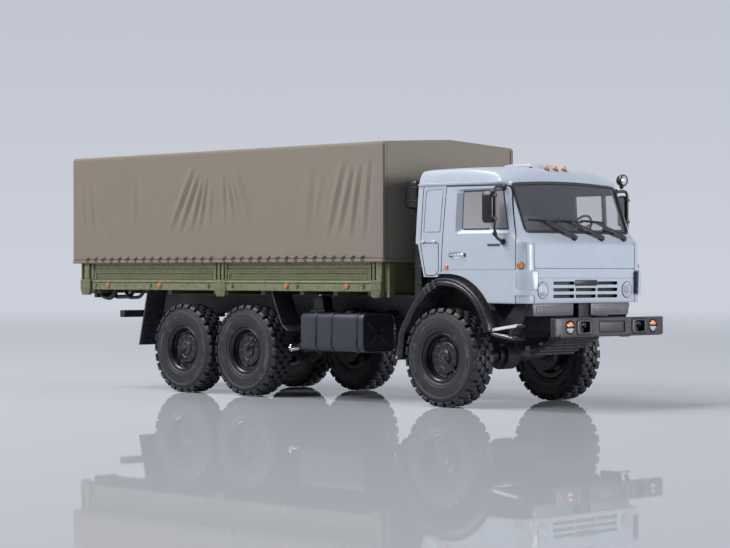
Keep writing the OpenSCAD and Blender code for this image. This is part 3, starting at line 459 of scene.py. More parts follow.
cab = {
    # height, front, back, half width, front corner, rear corner
    "rows": [
        (30.7, 31.3, -6.0, 26.7, 3.1, 0.8), (31.0, 31.55, -6.1, 26.95, 3.3, 1.0),
        (31.4, 31.65, -6.2, 27, 3.4, 0.6), (34.5, 31.7, -7.2, 27, 3.4, 0.6),
        (37.75, 31.72, -8.1, 27, 3.4, 0.6), (37.85, 31.5, -8.1, 27, 3.4, 0.6),
        (38.0, 31.48, -8.2, 27, 3.4, 0.6), (38.1, 31.74, -8.2, 27, 3.4, 0.6),
        (40.5, 31.66, -8.8, 27, 3.4, 0.6), (44, 31.6, -9.7, 27, 3.4, 0.6),
        (47.2, 31.6, -10.4, 26.98, 3.4, 0.6), (47.8, 31.52, -10.6, 26.97, 3.4, 0.6),
        (48.2, 31.3, -11.6, 26.965, 3.4, 0.6), (48.6, 30.9, -11.6, 26.96, 3.4, 0.6),
        (49.1, 30.4, -11.58, 26.95, 3.4, 0.6), (50.5, 29.08, -11.55, 26.9, 3.4, 0.6),
        (51.1, 28.66, -11.5, 26.87, 3.4, 0.6), (53, 27.95, -11.45, 26.8, 3.5, 0.6),
        (57, 26.46, -11.35, 26.6, 3.6, 0.6), (61, 24.97, -11.25, 26.35, 3.8, 0.6),
        (64.4, 23.7, -11.2, 26.07, 3.9, 0.6), (65.2, 23.4, -11.2, 26, 3.9, 0.6),
        (65.3, 23.36, -11.2, 26.35, 3.8, 0.6), (65.75, 23.25, -11.2, 26.4, 3.6, 0.6),
        (65.9, 23.2, -11.2, 25.9, 2.8, 0.7), (67, 22.8, -11.15, 25.7, 2.4, 0.8),
        (68.2, 22.1, -11.0, 25.45, 2.3, 1.0), (69.1, 21.2, -10.8, 25.15, 2.4, 1.1),
        (69.6, 20.5, -10.5, 24.85, 2.6, 1.3), (69.95, 19.8, -9.9, 24.2, 3.5, 3),
        (70.2, 18.8, -8.8, 22.8, 5, 5), (70.4, 17.3, -7.2, 20.4, 7, 8), (70.58, 15.4, -4.4, 17.6, 8, 9),
        (70.78, 12.6, -1.8, 13.6, 6.5, 7), (70.92, 9.4, 1.2, 9.2, 4, 4), (71.0, 6.6, 3.8, 5, 1.4, 1.4),
    ],
    "wall": 1.2,
    "archX": 1.83, "archZ": 20.41, "archR": 18.8, "archRear": -2.3, "hatchFoot": 38.3,
    "droop": (6, 22, 1.7),
    "screenFoot": (28.7, 51.0), "screenTop": (23.4, 65.2), "screenHalf": 23.2, "screenEdge": 0.35,
    "screenCorner": 1.4, "screenBow": 0.9,
    "mainPane": [(6.9, 52.3), (17.2, 52.3), (17.2, 63.1), (6.9, 63.1)],
    "quarterPane": [(18.4, 52.3), (24.6, 52.3), (22.2, 63.1), (18.4, 63.1)],
    "paneRecess": [(4.1, 50.6), (25.9, 50.5), (22.8, 64.1), (4.4, 64.1)],
    "recessFloor": [(6.6, 52.05), (24.95, 52.05), (22.35, 63.3), (6.6, 63.3)], "recessDepth": 0.85,
    "slotRows": (32.2, 34.1, 36.0), "slotColumns": ((-14.7, -5.3), (-4.6, 4.6), (5.3, 14.7)),
    "slotHeight": 1.0,
    "headlampX": 31.7, "headlampY": 19.3, "headlampZ": 34.5, "headlampR": 2.1,
    "seamWidth": 0.26, "seamDepth": 0.4,
    "doorRear": [(-0.95, 39.6), (0.5, 64.9)],
    "doorFront": [(28.05, 30.2), (28.05, 49.2), (27.55, 50.4), (23.75, 63.9), (22.9, 64.75), (0.5, 64.9)],
    "pillarSeam": [(-9.2, 48.6), (-8.75, 64.9)],
    "sidePanel": [(-8.0, 51.4), (-1.4, 51.4), (-0.75, 63.9), (-7.5, 63.9)],
    "flap": [(-9.4, 48.3), (-2.0, 48.3), (-2.0, 39.9), (-3.4, 38.75), (-7.2, 38.75)],
    "doorCrease": [(-1.0, 40.35), (28.0, 40.35)],
    "hoodSeam": [(-23, 48.4), (-23, 40.75), (23, 40.75), (23, 48.4)],
    "noseSeam": [(23, 40.75), (23, 30.2)], "cornerGroove": (41.0, 44.0, 48.2),
    "handle": (5.6, 44.7),
    "hatchX": (4.8, 15.8), "hatchHalf": 5.9, "hatchTop": 71.65,
}
screenRake = math.atan2(cab["screenFoot"][0] - cab["screenTop"][0],
                        cab["screenTop"][1] - cab["screenFoot"][1])
screenLength = (cab["screenTop"][1] - cab["screenFoot"][1]) / math.cos(screenRake)


def cabRow(z):  # the cab's measures at a height
    rows = cab["rows"]
    for low, high in zip(rows, rows[1:]):
        if z <= high[0]:
            t = max(0, (z - low[0]) / (high[0] - low[0]))
            return [between(a, b, t) for a, b in zip(low, high)][1:]
    return rows[-1][1:]


def cabSide(x, z):  # half width at a place, also round the front corner
    front, _, half, corner, _ = cabRow(z)
    past = min(max(0, x - (front - corner)), corner)
    return half - corner + math.sqrt(corner ** 2 - past ** 2)


def onScreen(u, v, w):  # in the windscreen's plane: across, up from its foot, outward
    x, z = cab["screenFoot"]
    return (x - v * math.sin(screenRake) + w * math.cos(screenRake), u,
            z + v * math.cos(screenRake) + w * math.sin(screenRake))


def screenOutline(grow=0):
    edge, half = cab["screenEdge"] - grow, cab["screenHalf"] + grow
    bow = [(u, screenLength - edge + cab["screenBow"] * (1 - (u / half) ** 2))
           for u in spread(half, -half, 15)]
    return softCorners([(-half, edge), (half, edge), *bow], cab["screenCorner"] + grow, 5)


def roofDroop(x, y, z):  # the roof's side edges fall away to the front
    start, end, deep = cab["droop"]
    shares = ((x - start) / (end - start), (y - 12) / 11, (z - 65.9) / 3.5)
    ahead, aside, high = [min(1, max(0, share)) for share in shares]
    return deep * ahead ** 1.6 * aside * high


def cabRing(row, inset=0):
    z, front, back, half, corner, rear = row
    front, back, half = front - inset, back + inset, half - inset
    corner, rear = max(corner - inset, 0.4), max(rear - inset, 0.3)
    left = [(front, y) for y in spread(0, half - corner, 16)[:-1]]
    left += arc(front - corner, half - corner, corner, 0, 90, 9)
    left += [(x, half) for x in spread(front - corner, back + rear, 34)[1:-1]]
    left += arc(back + rear, half - rear, rear, 90, 180, 4)
    left += [(back, y) for y in spread(half - rear, 0, 10)[1:]]
    ring = left + [(x, -y) for x, y in left[-2:0:-1]]
    drop = inset * min(1, max(0, (z - 65.2) / 4.3))
    return [(x, y, z - drop - roofDroop(x + inset, abs(y) + inset, z)) for x, y in ring]


def cabSkin():
    outer = [cabRing(row) for row in cab["rows"]]
    inner = [cabRing(row, cab["wall"]) for row in cab["rows"]]
    n, count = len(outer[0]), len(outer)
    points = [p for row in outer + inner for p in row]
    faces = [range((count - 1) * n, count * n), range((2 * count - 1) * n, 2 * count * n)]
    for i in range(n):
        j = (i + 1) % n
        faces.append((i, j, count * n + j, count * n + i))
        for r in [*range(count - 1), *range(count, 2 * count - 1)]:
            faces.append((r * n + i, r * n + j, (r + 1) * n + j, (r + 1) * n + i))
    skin = Stock(cabPaint).add(points, faces)
    skin.looks = [liningGrey if min(face) >= count * n else cabPaint for face in skin.faces]
    return skin


def seam(stock, path, outward, width=None, depth=None, loop=False):
    w, d = (width or cab["seamWidth"]) / 2, depth or cab["seamDepth"]
    return stock.sweep(path, [(-w, -d), (w, -d), (w, 0.5), (-w, 0.5)], outward, loop)


def sidePath(outline, soft=0.8, loop=False, step=1.0):  # a line drawn on the right side of the cab
    points = softCorners(outline, soft, 4, loop) if len(outline) > 2 else [Vector(p) for p in outline]
    points = points + points[:1] if loop else points
    fine = []
    for a, b in zip(points, points[1:]):
        fine += [a.lerp(b, t) for t in spread(0, 1, max(2, int((b - a).length / step) + 1))[:-1]]
    fine = fine if loop else fine + points[-1:]
    return [(x, -cabSide(x, z), z) for x, z in fine]


def cabCutters():
    recess = Stock(cabPaint)
    top, floor = [softCorners(cab[key], r) for key, r in (("paneRecess", 1.4), ("recessFloor", 0.5))]
    lip = 0.25
    rows = [[(x, -cabSide(min(x, 20), z) + shift, z) for x, z in outline]
            for outline, shift in ((top, -lip), (floor, cab["recessDepth"]))]
    recess.rings(rows).both()

    openings = Stock(cabPaint)
    arch = arc(cab["archX"], cab["archZ"], cab["archR"], 0, 90, 40)
    arch = [(cab["archX"] + cab["archR"], 0), *arch, (cab["archRear"], cab["archZ"] + cab["archR"]),
            (cab["archRear"], cab["hatchFoot"]), (-20, cab["hatchFoot"]), (-20, 0)]
    openings.plate(arch, sideOn, -40, 40)
    openings.plate(screenOutline(), onScreen, -4, 3)
    for pane in ("mainPane", "quarterPane"):
        openings.plate(softCorners(cab[pane], 0.5), sideOn, -40, 40)
    openings.look = slotBlack
    for row in cab["slotRows"]:
        for low, high in cab["slotColumns"]:
            end = 0.45 if abs(low + high) > 1 else 0.15
            openings.plate(roundRect(high - low, cab["slotHeight"], end, (low + high) / 2,
                                     row + cab["slotHeight"] / 2),
                           frontOn, 28, 34)
    for side in (-1, 1):
        openings.spin([(cab["headlampR"] + 0.1, 0), (cab["headlampR"] + 0.1, 6)],
                      (28, side * cab["headlampY"], cab["headlampZ"]), (1, 0, 0))

    lines, frames = Stock(trimBlack), Stock(cabPaint)
    right = (0, -1, 0)
    for key in ("doorRear", "pillarSeam"):
        seam(lines, sidePath(cab[key]), right)
    seam(lines, sidePath(cab["flap"], 0.6, True), right, loop=True)
    lines.both()
    doorLine = seam(Stock(trimBlack), sidePath(cab["doorFront"], 1.2), right).both()
    seam(frames, sidePath(cab["sidePanel"], 1.0, True), right, 0.45, 0.2, loop=True)
    seam(frames, sidePath(cab["doorCrease"]), right, 0.35, 0.12)
    frames.ball((cab["handle"][0], -27.45, cab["handle"][1]), (3.4, 0.9, 1.15))
    frames.both()
    nose = Stock(seamGrey)
    seam(nose, [(cabRow(z)[0], y, z) for y, z in softCorners(cab["hoodSeam"], 1.0, 4, False)], (1, 0, 0))
    feet, grooves = Stock(seamGrey), Stock(cabPaint)
    for side in (-1, 1):
        seam(feet, [(cabRow(z)[0], side * y, z) for y, z in cab["noseSeam"]], (1, 0, 0))
        out = Vector((1, side, 0)).normalized()
        groove = []
        for z in cab["cornerGroove"]:
            front, _, half, corner, _ = cabRow(z)
            groove.append(Vector((front - corner, side * (half - corner), z)) + out * corner)
        seam(grooves, groove, out, 1.3, 0.16)
    return [recess, openings, frames, lines, doorLine, nose, feet, grooves]


def deflector(stock):  # vane on the front corner: it stands off the front and blends into the side
    front, _, half, corner, _ = cabRow(36)
    bend = [Vector((front, y)) for y in (22.7, 23.2)]
    bend += arc(front - corner, half - corner, corner, 0, 90, 10)
    bend += [Vector((x, half)) for x in (27.9, 27.4)]
    centre = Vector((front - corner - 3, half - corner - 3))
    proud = [between(1.55, 0.2, (i / (len(bend) - 1)) ** 0.8) for i in range(len(bend))]
    rows = []
    for z, share in ((32.9, 0.1), (33.05, 0.8), (34.2, 0.9), (34.5, 0.7), (34.9, 0.9), (39.7, 1),
                     (40.15, 0.85), (40.3, 0.1)):
        outer = [p + (p - centre).normalized() * lift * share for p, lift in zip(bend, proud)]
        inner = [p - (p - centre).normalized() * 0.3 for p in bend[::-1]]
        rows.append([(x, y, z) for x, y in outer + inner])
    stock.rings(rows)
    # a dark strip on the vane's inboard end face: painted shade
    stock.look = slateEdge
    stock.block((front - 0.2, front + 1.15), (22.64, 22.7), (33.4, 39.8))
    stock.look = cabPaint
    return stock


def buildCab():
    skin = carved(cabSkin(), cabCutters())
    # painted shade: the wall behind the seats and the rear slope of the window's recess take a darker paint
    for i, face in enumerate(skin.faces):
        x, y, z = sum((skin.points[p] for p in face), Vector()) / len(face)
        behind = x < cabRow(z)[1] + 0.3 and abs(y) < 26 and z < 66
        slope = 4 < x < 6.8 and 51.9 < z < 63.2 and 26 < abs(y) < cabSide(x, z) - 0.1
        if skin.looks[i] is cabPaint and (behind or slope):
            skin.looks[i] = cabPaintedShade
    skin.look = cabPaint
    skin.block(cab["hatchX"], (-cab["hatchHalf"], cab["hatchHalf"]), (69.6, cab["hatchTop"]), 0.5, 3)
    skin.block((5.7, 14.9), (-5, 5), (71, cab["hatchTop"] + 0.14), 0.12)
    sideParts = Stock(cabPaint)
    deflector(sideParts)
    for x in (-8.3, -3.9):  # hinges of the side flap
        sideParts.ball((x, cabSide(x, 48.6) + 0.02, 48.65), (1.0, 0.45, 0.55), 16)
    sideParts.look = cabPaintedShade
    for row in range(5):  # vent holes in the guide's side, drawn as darker bumps: painted shade of the holes
        for column in range(2):
            place = (28.6 + 0.75 * column, 27.42 - 0.32 * column, 35.6 + 0.85 * row)
            sideParts.ball(place, (0.15, 0.2, 0.15), 10)
    # a small darker dot near the flap's lower corner: painted shade
    sideParts.ball((-3.0, 27.0, 40.2), (0.22, 0.12, 0.22), 10)
    sideParts.look = slateEdge
    sideParts.block((17.3, 22.1), (26.9, 27.05), (47.15, 47.85))
    sideParts.look = brightMetal
    x, z = cab["handle"]
    sideParts.sweep(softCorners([(x - 2.9, 27.0, z - 0.1), (x - 2.6, 27.6, z), (x + 2.6, 27.6, z + 0.1),
                                 (x + 2.9, 27.0, z + 0.1)], 0.5, 4, False),
                    roundRect(0.62, 0.36, 0.15), (0, 1, 0))
    sideParts.look = trimBlack
    for end in (x - 3.2, x + 2.5):
        sideParts.block((end, end + 0.7), (26.7, 27.4), (z - 0.5, z + 0.5), 0.2)
    skin.copy(sideParts.both(), Matrix.Identity(4))
    piece("cab_skin", skin, ["cab_shell"], angle=28)

    pane = Stock(screenGlass).plate(screenOutline(0.2), onScreen, -0.55, -0.2)
    piece("screen_glass", pane, ["windscreen"])

    seals = Stock(sealRubber)
    seals.tube([onScreen(u, v, 0.1) for u, v in screenOutline(0.05)], 0.5, 10, True, 0.7)
    panes = Stock(sealRubber)
    for pane in ("mainPane", "quarterPane"):
        outline = softCorners(cab[pane], 0.5)
        panes.tube([(x, -cabSide(min(x, 20), z) + cab["recessDepth"] - 0.05, z) for x, z in outline],
                   0.26, 8, True)
    seals.copy(panes.both(), Matrix.Identity(4))
    piece("window_seals", seals)


buildCab()
print("cab built")


# What shows through the glass

inside = {
    "floor": 39.4, "half": 25.5, "back": -7.8, "front": 26.3,
    "seats": ((7, 20), (-20, -4)), "seatX": (-4, 8.2), "seatTop": 44.9, "backTop": 57.2,
    "wheelPlace": (18.4, 13.5, 52.7), "wheelR": 4.5, "wheelAxis": (-0.857, 0, 0.515),
    "dash": [(21.9, 41), (26.2, 41), (26.3, 51), (24.2, 51.3), (22.2, 50.2)],
}


def buildInside():
    room = Stock(seatGrey)
    low, half = inside["floor"], inside["half"]
    room.block((inside["back"], inside["front"]), (-half, half), (low, low + 1.1), 0.2)
    room.block((inside["back"], -4.9), (-half, half), (low + 0.2, low + 6), 0.8, 3)
    for a, b in inside["seats"]:
        x0, x1 = inside["seatX"]
        room.block((x0, x1), (a, b), (low + 0.5, inside["seatTop"]), 1.1, 4)
        lean = [(x0 - 0.2, low + 3), (x0 + 2.6, low + 4.4), (x0 + 1.9, inside["backTop"]),
                (x0 - 0.6, inside["backTop"] - 0.3)]
        room.plate(lean, sideOn, a + 0.2, b - 0.2, 0.9, 4)
        room.block((x0 + 2.2, x1 - 0.6), (a + 2.2, b - 2.2),
                   (inside["seatTop"] - 0.5, inside["seatTop"] + 0.3), 0.3, 3)
    room.plate(softCorners(inside["dash"], 0.8), sideOn, -half, half, 0.3)
    room.block((21.2, 23.4), (8.6, 18.4), (48.8, 52), 0.6, 3)
    room.look = trimBlack
    centre = Vector(inside["wheelPlace"])
    axis = Vector(inside["wheelAxis"])
    side, rise = Vector((0, 1, 0)), axis.cross(Vector((0, 1, 0)))
    ring = [centre + (side * math.cos(a) + rise * math.sin(a)) * inside["wheelR"]
            for a in spread(0, 2 * math.pi, 41)[:-1]]
    room.tube(ring, 0.38, 8, True)
    for a in (90, 210, 330):
        spoke = side * math.cos(math.radians(a)) + rise * math.sin(math.radians(a))
        room.tube([centre - axis * 0.5 + spoke * r for r in (0.6, 2.4, 4.4)], 0.3, 8)
    room.spin([(0, 0.3), (0.9, 0.2), (1.1, -0.3), (0.8, -1.2), (0, -1.3)], centre, axis, 20)
    room.tube([centre - axis, (23.4, 13.5, 49.6)], 0.6)
    for y in (-12, 3):  # dials and vents along the dashboard
        room.block((21.8, 22.5), (y - 3, y + 3), (47.2, 49), 0.2)
    piece("cab_room", room, ["cab_interior"])


buildInside()


# Grille, headlamps, aprons and wipers

nose = {
    "apronX": (29.4, 30.4), "apronY": (4, 22), "apronZ": (27.05, 30.75),
    # pivot along Y, then the blade's two ends along Y
    "wipers": ((-3.9, -20.8, -7.4), (8.6, -8.4, 2.6), (19.0, 2.65, 13.0)), "wiperFoot": 49.5,
    "bladeUp": 3.5, "turnLampY": 19,
}


def buildNose():
    grille = Stock(slotBlack)
    grille.block((29.7, 30.4), (-16, 16), (31.4, 37.8), 0.1)
    grille.look = bumperGrey
    grille.plate(roundRect(10.2, 1.75, 0.25, 0, 36.55), frontOn, 30.1, 31.95, 0.12)
    grille.look = trimBlack
    grille.plate(roundRect(9.6, 1.25, 0.2, 0, 36.55), frontOn, 31.8, 32.02, 0.04)
    piece("grille_plate", grille, ["grille_insert"])

    lamps = Stock(lampBowl)
    centre, r = [cab["headlamp" + axis] for axis in "XYZ"], cab["headlampR"]
    ahead = (1, 0, 0)
    bowl = [(0.3, -0.9), (0.5, -0.95), (1.1, -0.75), (1.6, -0.35), (r - 0.25, 0.05), (r - 0.15, 0.1),
            (r, 0), (r, -0.5), (0.3, -1.2)]
    lamps.spin(bowl, centre, ahead)
    lamps.look = clearLens
    lamps.spin([(0, -0.3), (0.4, -0.35), (0.45, -0.9), (0, -1)], centre, ahead, 20)
    lamps.look = cabPaint
    lamps.spin([(r - 0.2, 0.05), (r - 0.1, 0.3), (r + 0.15, 0.28), (r + 0.3, 0.05), (r + 0.2, -0.4),
                (r - 0.2, -0.4)], centre, ahead)
    lamps.look = slateEdge
    lamps.spin([(r + 0.2, -0.3), (r + 0.26, 0.14), (r + 0.42, 0.12), (r + 0.46, -0.3)],
               centre, ahead)
    lamps.look = lampGlass
    lamps.spin([(r - 0.2, 0.12), (r - 0.5, 0.3), (1.1, 0.48), (0.5, 0.55), (0, 0.57), (0, 0.4), (1.1, 0.3),
                (r - 0.3, 0.05)], centre, ahead)
    bumperLow, bumperHigh = reach("bumper")
    mid, face = (bumperLow.z + bumperHigh.z) / 2, bumperHigh.x
    lamps.look = trimBlack
    lamps.spin([(1.95, -2.6), (2.02, 0.1), (1.9, 0.25), (1.7, 0.15), (1.65, -0.3), (0, -0.4), (0, -2.6)],
               (face, nose["turnLampY"], mid), ahead)
    for look, start, end in ((amberLens, 8, 172), (clearLens, 188, 352)):
        lamps.look = look
        half = arc(0, 0, 1.6, start, end, 16)
        for grow, low, high in ((1, -0.35, 0.05), (0.86, 0.0, 0.2)):
            middle = Vector((0, 0.62 if start < 90 else -0.62))
            lamps.plate([tuple(middle + (p - middle) * grow) for p in half],
                        lambda u, v, w: (face + w, nose["turnLampY"] + u, mid + v), low, high, 0.08)
    piece("front_lamp_set", lamps.both(), ["front_lamps"])

    # the aprons in the lighter copy of the bumper's plastic: painted light
    aprons = Stock(apronLitGrey)
    (y0, y1), (z0, z1) = nose["apronY"], nose["apronZ"]
    outline = [(y0, z1), (y0, z0), (y1 - 0.4, z0), (y1 + 0.2, z1)]
    back, front = nose["apronX"]
    aprons.plate(softCorners(outline, 0.7), frontOn, back, front, 0.25)
    aprons.plate(roundRect(y1 - y0 - 2.6, z1 - z0 - 1.6, 0.5, (y0 + y1) / 2 - 0.1, (z0 + z1) / 2), frontOn,
                 front - 0.1, front + 0.16, 0.1)
    aprons.both()
    aprons.look = slotBlack
    aprons.block((28.4, 29.7), (-0.8, 4.6), (24.6, z1), 0.2)
    piece("front_aprons", aprons, ["front_apron"])

    arms = Stock(trimBlack)
    for pivot, low, high in nose["wipers"]:
        foot = Vector((30.55, pivot, nose["wiperFoot"]))
        middle = Vector(onScreen((low + high) / 2, nose["bladeUp"], 0.95))
        arms.spin([(0, 0.7), (0.5, 0.6), (0.7, 0.2), (0.75, -0.9), (0, -0.9)], foot, (0.75, 0, 0.66), 16)
        knuckle = foot + Vector((0.45, 0.5, 0.1))
        bend = foot.lerp(middle, 0.5) + Vector((0.55, 0, 0.3))
        arms.sweep(softCorners([knuckle, bend, middle], 2.5, 5, False), roundRect(1.35, 0.8, 0.25),
                   (1, 0, 0.4), ends=(1, 0.4))
        lip, bow = [(-0.2, -0.42), (0.2, -0.42), (0.26, 0.1), (-0.26, 0.1)], roundRect(0.4, 0.34, 0.1)
        # the rubber, then its bow: shares of the blade, height off the glass, section
        for shares, off, section in (((0, 0.5, 1), 0.62, lip), ((0.2, 0.5, 0.8), 0.85, bow)):
            blade = [(between(low, high, t), nose["bladeUp"] + 0.5 * (0.5 - t) + 0.1) for t in shares]
            arms.sweep([onScreen(u, v, off) for u, v in blade], section, (1, 0, 0.4))
    piece("wiper_set", arms, ["wipers"])


buildNose()


# Bumper and the ribbed guard under it

bumper = {
    "back": 39.2, "corner": 2.6, "hookY": 12.6, "hookWide": 4.2, "hookHigh": 3.1, "frameWide": 7.0,
    "frameHigh": 4.1,
    "plateWide": 11.6, "plateHigh": 3.3, "lampY": 19.0, "lampR": 2.1,
    "guardHalf": 9.2, "guardTop": (33.6, 22.9), "guardFoot": (18.4, 15.4), "ribs": 8,
}


def buildBumper():
    low, high = reach("bumper")
    mid, face, half = (low.z + high.z) / 2, high.x, high.y
    rear = bumper["back"]
    outline = softCorners([(rear, -half), (face - 0.7, -half + 0.15), (face, -half + 3.6),
                           (face, half - 3.6), (face - 0.7, half - 0.15), (rear, half)],
                          bumper["corner"], 6)
    bar = Stock(bumperGrey).plate(outline, topOn, low.z, high.z, 0.5, 4)
    back = Stock(slotBlack).block((rear - 1, face - 1), (-half + 1.2, half - 1.2),
                                  (low.z + 0.9, high.z - 0.9))
    hollows = Stock(slotBlack)
    for side in (-1, 1):
        hollows.plate(roundRect(bumper["hookWide"], bumper["hookHigh"], 0.7, side * bumper["hookY"], mid),
                      frontOn, low.x - 1, face + 2)
        hollows.spin([(bumper["lampR"], 0), (bumper["lampR"], 4)], (face - 3, side * bumper["lampY"], mid),
                     (1, 0, 0), 32)
    dent = Stock(bumperGrey).plate(roundRect(bumper["plateWide"], bumper["plateHigh"], 0.5, 0, mid),
                                   frontOn, face - 0.32, face + 2)
    bar = carved(bar, [back, dent, hollows])
    bar.look = bumperGrey
    bar.plate(roundRect(bumper["plateWide"] - 0.5, bumper["plateHigh"] - 0.5, 0.4, 0, mid), frontOn,
              face - 0.6, face - 0.12, 0.12)
    bar.look = slotBlack
    rim = roundRect(bumper["plateWide"], bumper["plateHigh"], 0.5, 0, mid)
    bar.sweep([(face - 0.02, u, v) for u, v in rim], roundRect(0.3, 0.2, 0.06), (1, 0, 0), True)
    bar.look = bumperGrey
    for side in (-1, 1):  # pressed frames round the hook openings
        y = side * bumper["hookY"]
        outer = roundRect(bumper["frameWide"], bumper["frameHigh"], 1.1, y, mid)
        hole = roundRect(bumper["hookWide"] + 0.1, bumper["hookHigh"] + 0.1, 0.7, y, mid)
        rows = [[(x, u, v) for u, v in line]
                for line, x in ((outer, face - 0.4), (outer, face + 0.32), (hole, face + 0.4),
                                (hole, face - 0.6))]
        bar.rings(rows, close=True, soften=0.12)
        bar.look = slotBlack
        rim = roundRect(bumper["frameWide"] + 0.3, bumper["frameHigh"] + 0.3, 1.2, y, mid)
        bar.sweep([(face + 0.02, u, v) for u, v in rim], roundRect(0.3, 0.24, 0.08), (1, 0, 0), True)
        bar.block((face - 2.1, face - 1.7), (y - 3.2, y + 3.2), (mid - 2, mid + 2))
        bar.look = frameBlack
        bar.tube(softCorners([(rear + 0.4, y - 0.9, mid), (face - 0.7, y - 0.9, mid),
                              (face - 0.5, y - 0.9, mid + 0.9), (face - 0.5, y + 0.9, mid + 0.9),
                              (face - 0.7, y + 0.9, mid), (rear + 0.4, y + 0.9, mid)], 0.5, 4, False),
                 0.35, 8)
        bar.look = bumperGrey
    bar.sweep([(face - 0.9, y, low.z + 0.15) for y in (-half + 2.2, half - 2.2)],
              roundRect(1.6, 0.8, 0.3), (0, 0, 1))
    piece("bumper_bar", bar, ["bumper"])

    guard = Stock(frameBlack)
    top, foot, span = Vector(bumper["guardTop"]), Vector(bumper["guardFoot"]), bumper["guardHalf"]
    slope = (top - foot).normalized()
    out = Vector((slope.y, -slope.x))
    guard.rings([[(p.x, y, p.y) for p in (foot, top, top - out * 0.8, foot - out * 0.8)]
                 for y in (-span, span)], soften=0.15)
    guard.look = bumperGrey
    for i in range(bumper["ribs"]):  # pressed ribs across the plate
        p = foot.lerp(top, (i + 0.5) / bumper["ribs"]) + out * 0.15
        guard.sweep([(p.x, y, p.y) for y in (-span + 0.3, span - 0.3)], roundRect(0.95, 1.0, 0.3),
                    (slope.x, 0, slope.y))
    guard.look = frameBlack
    for side in (-1, 1):
        guard.plate(softCorners([(28, 19.9), (34.6, 23.4), (34.6, 26.2), (28, 26.2)], 0.5), sideOn,
                    side * 8.9 - 0.5, side * 8.9 + 0.5, 0.15)
    piece("guard_plate", guard, ["lower_valance"])


buildBumper()
print("front built")


# Fenders and steps

fender = {
    "y": (17.5, 28.5), "lip": 2.1, "archX": 1.3, "archZ": 19.9, "archR": 18.1, "start": 9,
    "tail": [(-1.4, 38.0), (-6.2, 35.6), (-11.8, 30.0), (-16.9, 22.0), (-17.7, 13.9)],
    "clamp": (-2.2, -7.4), "clampRibs": 4,
}
steps = {
    "y": (22.9, 27.0), "thick": 0.7,
    # underside of each tread: back end and front end along X and Z
    "treads": (((18.3, 22.5), (28.3, 23.9)), ((18.6, 21.5), (26.8, 20.2))),
}


def fenderPath():
    curve = arc(fender["archX"], fender["archZ"], fender["archR"], fender["start"], 90, 30)
    return curve + softCorners([curve[-1], *fender["tail"]], 1.6, 4, False)[1:]


